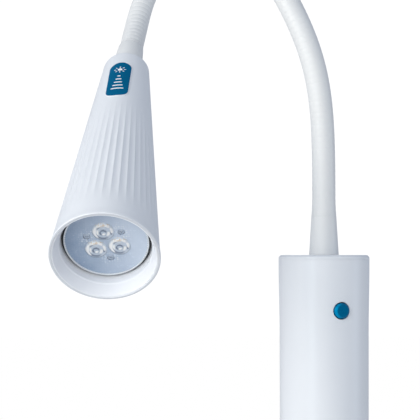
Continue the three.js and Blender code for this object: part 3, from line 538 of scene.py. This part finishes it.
def carved(mesh, *tools):
    """mesh with the tool meshes cut out of it."""
    holder = bpy.data.objects.new("carving", mesh)
    scene.collection.objects.link(holder)
    cutters = []
    for tool in tools:
        cutter = bpy.data.objects.new("cutter", tool)
        scene.collection.objects.link(cutter)
        cutters.append(cutter)
        modifier = holder.modifiers.new("cut", "BOOLEAN")
        modifier.operation = "DIFFERENCE"
        modifier.solver = "EXACT"
        modifier.object = cutter
    bpy.context.view_layer.update()
    result = bpy.data.meshes.new_from_object(holder.evaluated_get(bpy.context.evaluated_depsgraph_get()))
    for item in (holder, *cutters):
        bpy.data.objects.remove(item)
    return result


def drill(radius, low, high, x=0, y=0, segments=48):
    """A plain cylinder to carve with."""
    mesh = turned("drill", [(0, low), (radius, low), (radius, high), (0, high)], segments)
    mesh.transform(shift(x, y, 0))
    return mesh


def piece(name, mesh, body, look, *, place=None, stands_for=(), sharp=32):
    """Puts a mesh in millimetres into the scene as a piece on a body; body None leaves it on no body."""
    mesh.transform(Matrix.Scale(MM, 4))
    mesh.materials.clear()
    mesh.materials.append(MATERIALS[look])
    mesh.shade_smooth()
    mesh.set_sharp_from_angle(angle=math.radians(sharp))
    made = bpy.data.objects.new(name, mesh)
    scene.collection.objects.link(made)
    if place is not None:
        made.matrix_world = Matrix.Translation(place.translation * MM) @ place.to_3x3().to_4x4()
    if body:
        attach(made, body)
    if stands_for:
        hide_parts(*stands_for)
    return made


# ---------------------------------------------------------------- clamp


def clamp_frame():
    outline = rounded([
        (-20, 2.8, 1), (32, 2.8, 4), (32, -60, 4), (-15, -60, 1.5), (-15, -72, 3), (44, -72, 8),
        (44, 14.8, 8), (-20, 14.8, 3),
    ], 6)
    frame_mesh = slab("frame", outline, -13, 13, 1.6)
    frame_mesh.transform(Matrix.Rotation(math.radians(90), 4, "X"))
    return carved(frame_mesh, drill(10.3, 17.8, 41), drill(5.3, -80, -59))


def make_clamp():
    piece("clamp_frame_body", clamp_frame(), "clamp", "clamp_coat", stands_for=["clamp_frame"])
    socket = turned("socket", rounded([
        (10.3, 17.8), (10.3, 40, 0.6), (14, 40, 1), (14, 14.5, 1.5), (16, 14.5), (16, 14.2), (10.3, 14.2),
    ]))
    piece("clamp_socket", socket, "clamp", "clamp_coat")
    boss = turned("boss", rounded([(5.3, -71), (5.3, -76, 0.4), (10, -76, 1), (10, -71)]))
    piece("clamp_screw_boss", boss, "clamp", "clamp_coat")
    bush = turned("bush", rounded([
        (8.3, 18.1), (10, 18.1, 0.3), (10, 40.3), (13, 40.3, 0.3), (13, 41.7, 0.5), (8.3, 41.7, 0.3),
    ]))
    piece("friction_bush_ring", bush, "clamp", "black_plastic", stands_for=["friction_bush"])
    grooves = [slab("groove", [(x - 1, -20), (x + 1, -20), (x + 1, 20), (x - 1, 20)], -1, 0.5, 0.1)
               for x in (-12, -6, 0, 6, 12)]
    pad_outline = rounded([(-18, -13, 4), (18, -13, 4), (18, 13, 4), (-18, 13, 4)], 8)
    pad = carved(slab("jaw_pad", pad_outline, 0, 2.5, 0.4), *grooves)
    piece("jaw_pad_rubber", pad, "clamp", "rubber", stands_for=["jaw_pad"])
    make_plate_and_screw()


def make_plate_and_screw():
    top = -52.8
    plate = turned("plate", rounded([
        (0, top), (13, top, 0.3), (13, top - 2.5, 0.6), (7.5, top - 3.5, 0.6), (7.5, -59.5, 0.5),
        (4.3, -59.5, 0.2), (4.3, top - 2), (0, top - 2),
    ]))
    piece("pressure_plate_disc", plate, "plate", "plated_steel", stands_for=["pressure_plate"])
    pad = turned("pad", rounded([
        (0, -52.5), (13, -52.5, 0.5), (13, -50, 0.6), (9.4, -50), (9.2, -50.5), (8.6, -50.5), (8.4, -50),
        (5.4, -50), (5.2, -50.5), (4.6, -50.5), (4.4, -50), (0, -50),
    ]))
    piece("plate_pad_rubber", pad, "plate", "rubber", stands_for=["plate_pad"])
    low, high = -133, -59.8
    rows = [(5, z) for z in np.arange(low, high, THREAD_PITCH / 10)]
    outline = [(0, low), *rows, (5, high), (4, high), (4, -55.1), (0, -55.1)]
    screw = turned("screw", outline, 40, change=thread)
    piece("clamp_screw_thread", screw, "screw", "plated_steel", stands_for=["clamp_screw"], sharp=50)
    make_knob()


def thread(x, y, z):
    """Cuts the clamp screw's thread into its rod, which is plain above z = -62."""
    radius = np.hypot(x, y)
    turn = z / THREAD_PITCH - np.arctan2(y, x) / (2 * math.pi)
    tooth = np.clip(1.6 * (1 - 2 * np.abs(turn % 1 - 0.5)) - 0.3, 0, 1)
    cut = np.where((radius > 4.8) & (z < -62), THREAD_DEPTH * (1 - tooth), 0)
    scale = (radius - cut) / np.maximum(radius, 1e-9)
    return x * scale, y * scale, z


def lobed(x, y, z):
    """Presses five scallops into the knob's rim, with their edges softened."""
    knob, scallop, circle, lobe = 20, 7, 23.2, 2 * math.pi / 5
    radius, angle = np.hypot(x, y), np.arctan2(y, x)
    offset = (angle + lobe / 2) % lobe - lobe / 2
    beside = circle * np.sin(offset)
    inside = np.abs(beside) < scallop
    entry = circle * np.cos(offset) - np.sqrt(np.where(inside, scallop ** 2 - beside ** 2, 0))
    rim = np.where(inside, np.minimum(entry, knob), knob)
    rim = knob - np.logaddexp(0, (knob - rim) * 2.2 - 0.8) / 2.2
    share = np.clip((radius - 9) / 6, 0, 1)
    scale = 1 + share * (rim / knob - 1)
    return x * scale, y * scale, z


def make_knob():
    top = -119
    outline = rounded([
        (0, top - 20), (15, top - 20, 1.5), (20, top - 16, 3), (20, top - 7, 2.5), (16, top - 4, 2),
        (9, top - 3, 0.8), (9, top, 0.8), (5.3, top, 0.3), (5.3, top - 14.3), (0, top - 14.3),
    ], 8)
    dense = []
    for (r0, z0), (r1, z1) in zip(outline, outline[1:]):
        count = max(1, int(math.hypot(r1 - r0, z1 - z0) / 1.5))
        dense += [(r0 + (r1 - r0) * k / count, z0 + (z1 - z0) * k / count) for k in range(count)]
    knob = turned("knob", [*dense, outline[-1]], 200, change=lobed)
    piece("clamp_knob_grip", knob, "screw", "black_plastic", stands_for=["clamp_knob"], sharp=40)


# ---------------------------------------------------------------- base


def base_radius(depth):
    """The housing flares a little towards the lid and tapers slowly towards the foot."""
    lean = 0.3
    taper = BASE_FOOT_RADIUS + lean * (1 - depth / BASE_LENGTH)
    flare = BASE_RADIUS + LID_FLARE - BASE_FOOT_RADIUS - lean
    return taper + flare * smoothstep((52 - depth) / 46)


def base_housing():
    foot = BASE_FOOT_RADIUS
    rows = [(float(base_radius(depth)), -depth) for depth in np.linspace(5, 147, 50)]
    edge, top, bottom = float(base_radius(0)), -LID_HEIGHT - 0.08, -149.7
    outline = [
        (edge - 2.6, top),
        *rounded([(edge - 2.6, top), (edge, top, 0.06), rows[0]], 4, False)[1:-1],
        *rows,
        *rounded([rows[-1], (foot, bottom, 0.35), (foot - 2.4, bottom)], 4, False)[1:],
    ]
    shell = turned("housing", outline, 192)
    hole = drill(BUTTON_HOLE_RADIUS, 20, 35, segments=96)
    hole.transform(shift(0, 0, -BASE_TOP) @ BUTTON)
    jack = drill(JACK_HOLE_RADIUS, 20, 35)
    jack.transform(shift(0, 0, -BASE_TOP) @ JACK)
    return carved(shell, hole, jack)


def make_base():
    piece("housing", base_housing(), "base", "white_shell", place=BASE, stands_for=["base_housing"])
    cap = turned("cap", rounded([
        (8.4, 0), (BASE_RADIUS - 1.3, 0, 1.4), (BASE_RADIUS + LID_FLARE - 0.05, -1.3, 1.4),
        (BASE_RADIUS + LID_FLARE, -LID_HEIGHT, 0.06), (27.2, -LID_HEIGHT), (27.2, -9), (25.4, -9),
        (25.4, -4.2), (8.4, -4.2),
    ], 8), 192)
    piece("lid", cap, "base", "white_shell", place=BASE, stands_for=["top_cap"])
    collar = turned("collar", rounded([
        (5, -13), (8.1, -13), (8.1, 0.05), (9.9, 0.05, 0.1), (9.75, 2, 0.6), (8.3, 25.95, 0.05), (5, 25.95),
    ]), 128)
    piece("neck_collar", collar, "base", "neck_sheath", place=BASE,
          stands_for=["foot_collar"])
    make_button()
    jack = turned("jack", rounded([
        (0, 14), (5, 14), (5, 29.7), (6.4, 29.7, 0.2), (6.4, 31, 0.5), (3.1, 31, 0.4), (3.1, 19), (1, 19),
        (1, 28.6, 0.4), (0, 29),
    ]), 72)
    piece("supply_inlet", jack, "base", "black_plastic", place=JACK, stands_for=["dc_jack"])
    make_bottom()


def make_button():
    button = turned("button", rounded([
        (0, 19.8), (2, 19.8, 0.3), (2, 22.4), (6.8, 22.4, 0.3), (6.8, 23.9), (5.08, 24.2), (5.08, 30.8, 0.2),
        (3.9, 31.8, 0.3), (0, 31.9),
    ], 6), 96)
    piece("button_cap", button, "button", "button_blue", place=BUTTON,
          stands_for=["power_button"])


def make_bottom():
    low, foot = -BASE_LENGTH, BASE_FOOT_RADIUS
    plate = turned("plate", rounded([
        (8.3, low, 0.3), (foot, low, 1.2), (foot, low + 4, 0.2), (12, low + 4), (12, low + 16),
        (8.3, low + 16),
    ]), 160)
    places = [on_circle(FOOT_SCREW_CIRCLE, math.radians(a)) for a in (30, 150, 270)]
    sinks = [drill(3.2, low - 1, low + 2.3, x, y) for x, y, _ in places]
    piece("foot_plate", carved(plate, *sinks), "base", "white_shell", place=BASE, stands_for=["bottom_cap"])
    for i, (x, y, _) in enumerate(places):
        screw = screw_mesh(low + 0.3, 2.9, 1.7, 1.5, 13, down=True)
        piece(f"foot_screw_{i + 1}", screw, "base", "plated_steel", place=BASE @ shift(x, y, 0),
              stands_for=[f"cap_screw_{i + 1}"])
    spigot = turned("spigot", rounded([
        (0, -177), (7, -177), (8, -176), (8, -137.7), (11, -137.7, 0.3), (11, -135.2, 0.5), (0, -135.2),
    ]), 96)
    piece("spigot_pin", spigot, "base", "plated_steel", place=BASE, stands_for=["spigot"])


def screw_mesh(face, head, height, shank, length, down):
    """A pan-head screw with a cross recess. face is its head's face; the shank runs away from it."""
    way = 1 if down else -1
    outline = rounded([
        (0, face), (head, face, 0.5), (head, face + way * height, 0.2), (shank, face + way * height),
        (shank, face + way * length), (0, face + way * length),
    ])
    body = turned("screw", outline, 48)
    wide, narrow = head * 0.58, head * 0.13
    cross = [slab("slot", [(-a, -b), (a, -b), (a, b), (-a, b)], face - 1, face + 1, 0.02)
             for a, b in ((wide, narrow), (narrow, wide))]
    for tool in cross:
        tool.transform(shift(0, 0, -way * 0.1))
    return carved(body, *cross)


# ---------------------------------------------------------------- gooseneck

NECK_POINTS = [
    (0, 0, -16), (0, 0, 10), (0, 0, 40), (0, 0, 72), (-2, 0, 112), (-13, 2, 152), (-41, 20, 206),
    (-72, 45, 224), (-104, 59, 211), (-122, 55, 183), (-127, 38, 157), (-130, 17, 138.5),
    (-131.7, -0.5, 123.8), (-132, -8.2, 117.4),
]


class Axis:
    """The gooseneck's axis, a cubic B-spline, by distance along it."""

    def __init__(self, points, samples=6000):
        hull = np.array([points[0]] * 2 + list(points) + [points[-1]] * 2, float) + (0, 0, BASE_TOP)
        spans = len(hull) - 3
        t = np.linspace(0, spans, samples + 1)
        span = np.minimum(t.astype(int), spans - 1)
        w = (t - span)[:, None]
        weights = [(1 - w) ** 3, 3 * w ** 3 - 6 * w ** 2 + 4, -3 * w ** 3 + 3 * w ** 2 + 3 * w + 1, w ** 3]
        self.path = sum(weight * hull[span + i] for i, weight in enumerate(weights)) / 6
        steps = np.linalg.norm(np.diff(self.path, axis=0), axis=1)
        self.distance = np.concatenate([[0], np.cumsum(steps)])
        self.length = self.distance[-1]
        self.arch = np.array([0.3, 0.95, 0]) / math.hypot(0.3, 0.95)

    def at(self, s):
        return np.stack([np.interp(s, self.distance, self.path[:, i]) for i in range(3)], -1)

    def bend(self, x, y, s):
        """Lays vertices that were made round a straight Z axis round the curved one."""
        s = np.clip(s, 0, self.length)
        tangent = self.at(np.minimum(s + 0.3, self.length)) - self.at(np.maximum(s - 0.3, 0))
        tangent /= np.linalg.norm(tangent, axis=1, keepdims=True)
        outwards = self.arch - tangent * (tangent @ self.arch)[:, None]
        outwards /= np.linalg.norm(outwards, axis=1, keepdims=True)
        sideways = np.cross(tangent, outwards)
        return tuple((self.at(s) + outwards * x[:, None] + sideways * y[:, None]).T)


AXIS = Axis(NECK_POINTS)
LINK = (AXIS.length - SHEATH_END - SHEATH_START) / NECK_HINGES


def rib_radius(s):
    """Round ribs with narrow grooves between them, a little deeper where the neck is bent.

    The sheath flares over its first 13 mm, thickens slowly, and is slimmer round the arch's rearmost point.
    """
    share = ((s - SHEATH_START) / LINK * RIBS_PER_LINK) % 1
    bulge = np.sqrt(np.maximum(0, 1 - (2 * share - 1) ** 2))
    depth = 0.10 + 0.16 * np.clip((s - 140) / 90, 0, 1)
    flare = 0.55 * np.clip((SHEATH_START + 13 - s) / 13, 0, 1) ** 2
    thick = 7.75 + 0.17 * np.clip((s - 110) / 60, 0, 1)
    slimmer = 0.4 * np.exp(-((s - 327) / 30) ** 2)
    return thick - slimmer - depth * (1 - bulge) + flare


def sheath_stretch(number):
    """The sheath from the middle of one link to the middle of the next, over hinge number."""
    start, end = SHEATH_START + LINK * (number - 1), SHEATH_START + LINK * number
    stations = np.linspace(start, end, RIBS_PER_LINK * 10 + 1)
    outer = [(float(rib_radius(s)), float(s)) for s in stations]
    inner = [(SHEATH_BORE, float(s)) for s in stations[::-5]]
    return turned("sheath", outer + inner, 56, change=AXIS.bend)


def make_neck():
    for i in range(1, NECK_HINGES + 1):
        nodes = [f"neck_sheath_{i}"] + (["neck_sheath_9"] if i == NECK_HINGES else [])
        made = piece(f"sheath_{i}", sheath_stretch(i), None, "neck_sheath", stands_for=nodes, sharp=60)
        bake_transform(made)
    make_ferrule()


def make_ferrule():
    """The sleeve between gooseneck and head, with a narrow groove below its upper end."""
    face = AXIS.length - FERRULE_END
    top = face - FERRULE_LENGTH
    ferrule = turned("ferrule", rounded([
        (5, top), (8.25, top, 0.1), (8.3, top + 0.9, 0.05), (7.5, top + 1.0), (7.5, top + 1.6),
        (8.5, top + 1.7, 0.1), (9.3, top + 13.5), (9.5, face, 0.3), (7, face), (7, face + 8.8),
        (5, face + 8.8), (5, face - 11.5),
    ]), 128, change=AXIS.bend)
    piece("neck_ferrule", ferrule, "head", "neck_sheath", stands_for=["ferrule"])


# ---------------------------------------------------------------- head


def cone(depth):
    """The head's radius before its flutes, at a depth behind the mouth."""
    return MOUTH_RADIUS - CONE_TANGENT * depth


def fluted(x, y, z):
    """Scoops the shallow flutes, which fade out before the rim and before the shoulder."""
    radius, depth = np.hypot(x, y), -z
    share = ((np.arctan2(y, x) - FLUTE_TURN) / (2 * math.pi) * FLUTES) % 1
    fade = smoothstep((depth - 12) / 26) * smoothstep((138 - depth) / 62)
    hollow = FLUTE_DEPTH * fade * (1 - (2 * share - 1) ** 2)
    outside = radius > cone(depth) - 1
    scale = 1 - np.where(outside, hollow, 0) / np.maximum(radius, 1e-9)
    return x * scale, y * scale, z


def lip_swell(depth):
    """How far the lip swells beyond the cone at that depth."""
    return LIP_FLARE * max(0, 1 - depth / LIP_LENGTH) ** 1.5


def head_shell():
    rear, seat = HEAD_LENGTH, 18.8
    rim = rounded([
        (cone(10) - 1.35, -10), (31.05, -0.5, 0.2), (31.2, -0.04, 0.2), (32.8, -0.04, 0.6),
        (cone(2) + lip_swell(2), -2),
    ], 4, False)[1:]
    depths = [*np.arange(2, 136, 1.6)[1:], *np.arange(138, 190, 4)]
    side = [(cone(depth) + lip_swell(depth), -depth) for depth in depths]
    back = rounded([
        (cone(188), -188), (cone(rear), -rear, 5.2), (7.6, -rear, 0.2), (7.6, -(rear - WALL)),
    ], 12, False)[1:]
    inner = [
        (cone(rear) - 4, -(rear - WALL)), (cone(rear - 6) - WALL, -(rear - 6)), (cone(90) - WALL, -90),
        (cone(seat) - WALL, -seat), (cone(seat) - 1.5, -seat),
    ]
    return turned("shell", [*rim, *side, *back, *inner], FLUTES * 14, change=fluted)


def grid_border(grid):
    """The points round the edge of a grid, in turn."""
    return np.concatenate([grid[0], grid[1:, -1], grid[-1, -2::-1], grid[-2:0:-1, 0]])


def cone_plate(name, grid, low, high, edge=0.0):
    """A thin plate on the cone from a grid of (along the round, depth) points, lifted between two heights."""
    numbers = np.arange(grid.shape[0] * grid.shape[1]).reshape(grid.shape[:2])
    flat = grid.reshape(-1, 2)
    lift = np.full(len(flat), float(high))
    if edge:
        gaps = np.linalg.norm(flat[:, None] - grid_border(grid)[None], axis=2)
        reach = np.clip(np.min(gaps, axis=1) / edge, 0, 1)
        lift -= edge * (1 - np.sqrt(reach * (2 - reach)))

    def on_cone(heights):
        radius = cone(flat[:, 1])
        angle = BADGE_ANGLE - flat[:, 0] / radius
        out = radius + heights
        return np.stack([out * np.cos(angle), out * np.sin(angle), -flat[:, 1]], -1)

    quads = np.stack([numbers[:-1, :-1], numbers[:-1, 1:], numbers[1:, 1:], numbers[1:, :-1]], -1)
    quads = quads.reshape(-1, 4)
    border = grid_border(numbers)
    after = np.roll(border, -1)
    walls = np.stack([border, after, after + len(flat), border + len(flat)], -1)
    faces = [*quads.tolist(), *(quads[:, ::-1] + len(flat)).tolist(), *walls.tolist()]
    return mesh_of(name, np.concatenate([on_cone(lift), on_cone(low)]), faces)


def strip_grid(start, way, width_at, length, rows, columns):
    """A grid of points on a flat shape from start along way, with half its width from width_at(t)."""
    start, way = np.array(start, float), np.array(way, float)
    side = np.array([way[1], -way[0]])
    places = length * (0.5 - 0.5 * np.cos(np.linspace(0, math.pi, rows)))
    half = np.array([max(width_at(t), 0.01) for t in places])
    shares = np.linspace(-1, 1, columns)
    return start + places[:, None, None] * way + (half[:, None] * shares)[:, :, None] * side


def badge_grid(grow):
    """The badge's outline, grown all round: a round top, and a full, softly cornered foot."""
    half = BADGE_WIDTH / 2 + grow
    length = BADGE_HIGH - BADGE_LOW + 2 * grow
    corner = 7 + grow
    fullness = 2.6

    def width_at(t):
        if t < corner:
            return half * (1 - (1 - t / corner) ** fullness) ** (1 / fullness)
        if t > length - half:
            return math.sqrt(max(0, half ** 2 - (t - length + half) ** 2))
        return half

    return strip_grid((0, BADGE_LOW - grow), (0, 1), width_at, length, 90, 33)


def capsule(centre, way, length, half):
    """A short bar with round ends."""
    def width_at(t):
        near = min(t, length - t)
        return math.sqrt(max(0, half ** 2 - (half - near) ** 2)) if near < half else half

    way = np.array(way, float)
    return strip_grid(np.array(centre) - way * length / 2, way, width_at, length, 16, 7)


def make_badge():
    rim = cone_plate("edge", badge_grid(BADGE_LIFT), 0.02, BADGE_LIFT, 0.2)
    piece("badge_edge", rim, "head", "white_shell", place=HEAD, sharp=50)
    plate = cone_plate("plate", badge_grid(0), 0.3, 0.68, 0.1)
    piece("badge_plate", plate, "head", "badge_blue", place=HEAD, stands_for=["badge"],
          sharp=60)
    for k, grid in enumerate(badge_marks()):
        mark = cone_plate("mark", grid, 0.5, 0.74)
        piece(f"badge_mark_{k + 1}", mark, "head", "badge_print", place=HEAD, sharp=50)


def badge_marks():
    """A plain pictogram: a small lamp with eight rays, over five bars of light that grow wider."""
    lamp = (0, 168.5)
    marks = [capsule(lamp, (0, 1), 3.0, 1.5)]
    for k in range(8):
        angle = k * math.pi / 4
        way = (math.sin(angle), math.cos(angle))
        marks.append(capsule((lamp[0] + 3.1 * way[0], lamp[1] + 3.1 * way[1]), way, 1.5, 0.32))
    return marks + [capsule((0, 160 - 4 * k), (1, 0), 2.2 + 1.5 * k, 0.6) for k in range(5)]


def make_mouth():
    front, rear = cone(1) - 1.4, cone(18.5) - 1.4
    # The bezel wears a lighter copy of the shell's white, painted light on the mouth's inner wall.
    bezel = turned("bezel", rounded([
        (front - 0.5, -0.35, 0.2), (front, -0.35, 0.02), (rear, -18.5), (23.2, -18.5), (23.2, -16.4),
        (26.9, -16.4), (27.3, -8.7, 0.5), (27.8, -8, 0.3),
    ], 6), 192)
    piece("bezel", bezel, "head", "lit_bezel_white", place=HEAD, stands_for=["bezel_ring"])
    # The flat rim of the mouth, in a darker copy of the shell's white as painted shade.
    lip = turned("lip", rounded([(31.3, -0.3), (31.3, 0, 0.02), (32.4, 0, 0.02), (32.6, -0.3)]), 192)
    piece("shell_lip", lip, "head", "shaded_lip_white", place=HEAD)
    # Stands for the lens seal, moved out into the well and made wide and black: painted shadow in the gap
    # between lens and bezel.
    seal = turned("seal", rounded([
        (26.6, -15.3, 0.15), (26.6, -16.1), (23.2, -16.1), (23.2, -15.3, 0.15),
    ]), 160)
    piece("lens_gasket_shadow", seal, "head", "rubber", place=HEAD, stands_for=["lens_seal"])
    make_lens()
    make_optics()


def make_optics():
    """A dome with a small ring at its top, over a tapering collimator with a hollow for the LED."""
    for i, angle in enumerate(OPTIC_ANGLES):
        optic = turned("optic", rounded([
            (0, -12.2), (2.1, -12.3, 0.4), (2.5, -12.7, 0.3), (3.2, -12.5, 0.5), (5.6, -13.1, 1.2),
            (OPTIC_RADIUS, -13.9, 0.1), (OPTIC_RADIUS, -18.2, 0.3), (4.6, -25), (3.4, -28.4), (2.9, -28.4),
            (2.6, -25.6, 0.8), (0, -25.2),
        ], 5), 96)
        place = HEAD @ shift(*on_circle(OPTIC_CIRCLE, angle))
        piece(f"optic_lens_{i + 1}", optic, "head", "clear_optic", place=place,
              stands_for=[f"optic_{i + 1}"], sharp=40)


def toothed(x, y, z):
    """Raises fine teeth round the lens cover's edge."""
    radius, angle = np.hypot(x, y), np.arctan2(y, x)
    off = np.abs(radius - LENS_DISC_RADIUS - 0.15)
    near = np.clip(1 - off / 0.2, 0, 1) * (z > -LENS_DEPTH - 0.7)
    return x, y, z + 0.5 * near * np.cos(90 * angle)


def make_lens():
    face, back, edge = -LENS_DEPTH, -LENS_DEPTH - LENS_THICKNESS, LENS_DISC_RADIUS
    disc = turned("lens", rounded([(0, face), (edge, face, 0.2), (edge, back), (0, back)]), 160)
    optics = [on_circle(OPTIC_CIRCLE, angle) for angle in OPTIC_ANGLES]
    screws = [on_circle(LENS_SCREW_CIRCLE, angle) for angle in LENS_SCREW_ANGLES]
    holes = [drill(OPTIC_RADIUS + 0.04, back - 1, 0, x, y, 72) for x, y, _ in optics]
    sinks = [drill(2.2, face - 1, 0, x, y, 36) for x, y, _ in screws]
    piece("lens_plate", carved(disc, *holes, *sinks), "head", "frosted_lens", place=HEAD,
          stands_for=["lens_cover"])
    # The raised rim round the lens cover; its pale colour is partly painted highlight.
    rim = turned("rim", rounded([
        (edge - 0.1, face - 0.1), (edge, face + 0.05), (edge + 0.15, face + 0.25), (edge + 0.3, face + 0.1),
        (edge + 0.45, face + 0.45, 0.1), (edge + 0.9, face + 0.3, 0.2), (edge + 0.9, back, 0.3),
        (edge - 0.1, back),
    ]), 720, change=toothed)
    piece("lens_edge", rim, "head", "lens_rim_highlight", place=HEAD)
    for i, place in enumerate(screws):
        screw = screw_mesh(face - 0.35, 1.9, 1.0, 1.3, 24, down=False)
        piece(f"lens_screw_{i + 1}", screw, "head", "lens_screw",
              place=HEAD @ shift(*place), stands_for=[f"long_screw_{i + 1}"])


def make_head():
    piece("shell", head_shell(), "head", "white_shell", place=HEAD, stands_for=["head_shell"], sharp=40)
    make_badge()
    make_mouth()


# ---------------------------------------------------------------- hidden CAD pieces

CARRIED_OVER = {
    "plated_steel": ["neck_locknut", "spigot_cross_pin", "ferrule_nut",
                     *(f"neck_core_{i}" for i in range(1, NECK_HINGES + 2))],
    "rubber": ["button_seal"],
    "black_plastic": ["tact_switch", "base_lead", "head_lead"],
    "green_board": ["control_board"],
    "white_board": ["led_board"],
    "heat_sink": ["heat_sink"],
    "emitter": ["led_1", "led_2", "led_3"],
}


def paint_carried_over():
    """Gives the CAD nodes that stay in the scene their looks."""
    for look, names in CARRIED_OVER.items():
        for name in names:
            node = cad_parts[name]
            node.data.materials.clear()
            node.data.materials.append(MATERIALS[look])


# ---------------------------------------------------------------- studio


def make_floor():
    """A pale floor that fades into the studio's white with its distance from the lamp."""
    work = bmesh.new()
    bmesh.ops.create_grid(work, x_segments=24, y_segments=24, size=6)
    mesh = bpy.data.meshes.new("floor")
    work.to_mesh(mesh)
    work.free()
    floor = bpy.data.objects.new("floor", mesh)
    floor.location.z = cad_low.z - 0.0003
    scene.collection.objects.link(floor)
    material, tree, shader = new_material("floor")
    shader.inputs["Base Color"].default_value = (0.60, 0.61, 0.62, 1)
    shader.inputs["Roughness"].default_value = 0.7
    glow = tree.nodes.new("ShaderNodeEmission")
    glow.inputs["Color"].default_value = (1, 1, 1, 1)
    place = tree.nodes.new("ShaderNodeTexCoord")
    length = tree.nodes.new("ShaderNodeVectorMath")
    length.operation = "LENGTH"
    tree.links.new(place.outputs["Object"], length.inputs[0])
    mix = tree.nodes.new("ShaderNodeMixShader")
    path = tree.nodes.new("ShaderNodeLightPath")
    fade = spread_over(tree, length.outputs["Value"], 0, 1, 0.35, 1.3)
    seen = worked_out(tree, "MULTIPLY", fade, path.outputs["Is Camera Ray"])
    tree.links.new(worked_out(tree, "MULTIPLY_ADD", seen, 0.7, 0.3), mix.inputs["Fac"])
    tree.links.new(shader.outputs["BSDF"], mix.inputs[1])
    tree.links.new(glow.outputs["Emission"], mix.inputs[2])
    tree.links.new(mix.outputs["Shader"], tree.nodes["Material Output"].inputs["Surface"])
    mesh.materials.append(material)


def make_world():
    """White to the camera, and a softer, slightly cool light on the object."""
    world = bpy.data.worlds.new("studio")
    world.use_nodes = True
    scene.world = world
    tree = world.node_tree
    seen = tree.nodes["Background"]
    seen.inputs["Color"].default_value = (1, 1, 1, 1)
    seen.inputs["Strength"].default_value = 1.05
    fill = tree.nodes.new("ShaderNodeBackground")
    fill.inputs["Color"].default_value = (0.77, 0.85, 1.0, 1)
    fill.inputs["Strength"].default_value = 0.50
    path = tree.nodes.new("ShaderNodeLightPath")
    mix = tree.nodes.new("ShaderNodeMixShader")
    tree.links.new(path.outputs["Is Camera Ray"], mix.inputs["Fac"])
    tree.links.new(fill.outputs["Background"], mix.inputs[1])
    tree.links.new(seen.outputs["Background"], mix.inputs[2])
    tree.links.new(mix.outputs["Shader"], tree.nodes["World Output"].inputs["Surface"])


def area_light(name, location, target, size, power, colour=(1, 1, 1)):
    data = bpy.data.lights.new(name, "AREA")
    data.shape = "RECTANGLE"
    data.size, data.size_y = size
    data.energy = power
    data.color = colour
    light = bpy.data.objects.new(name, data)
    light.location = location
    light.rotation_euler = (Vector(target) - Vector(location)).to_track_quat("-Z", "Y").to_euler()
    scene.collection.objects.link(light)


def make_studio():
    make_floor()
    make_world()
    area_light("key", (-1.35, -0.75, 0.65), (-0.05, 0, 0.2), (0.9, 0.9), 9.7, (1.0, 0.945, 0.86))
    area_light("strip", (-0.90, -1.33, 0.40), (-0.05, 0, 0.20), (0.22, 1.5), 6.2, (0.92, 1.0, 1.0))
    area_light("front", (-0.25, -1.75, 0.55), (-0.05, 0, 0.15), (0.8, 0.8), 5.0, (1.0, 0.93, 0.82))
    area_light("side", (1.50, -0.13, 0.10), (0, 0, 0.15), (0.35, 1.0), 2.3, (0.75, 0.88, 1.0))
    scene.view_settings.view_transform = "Standard"


make_clamp()
make_base()
make_neck()
make_head()
paint_carried_over()
make_studio()
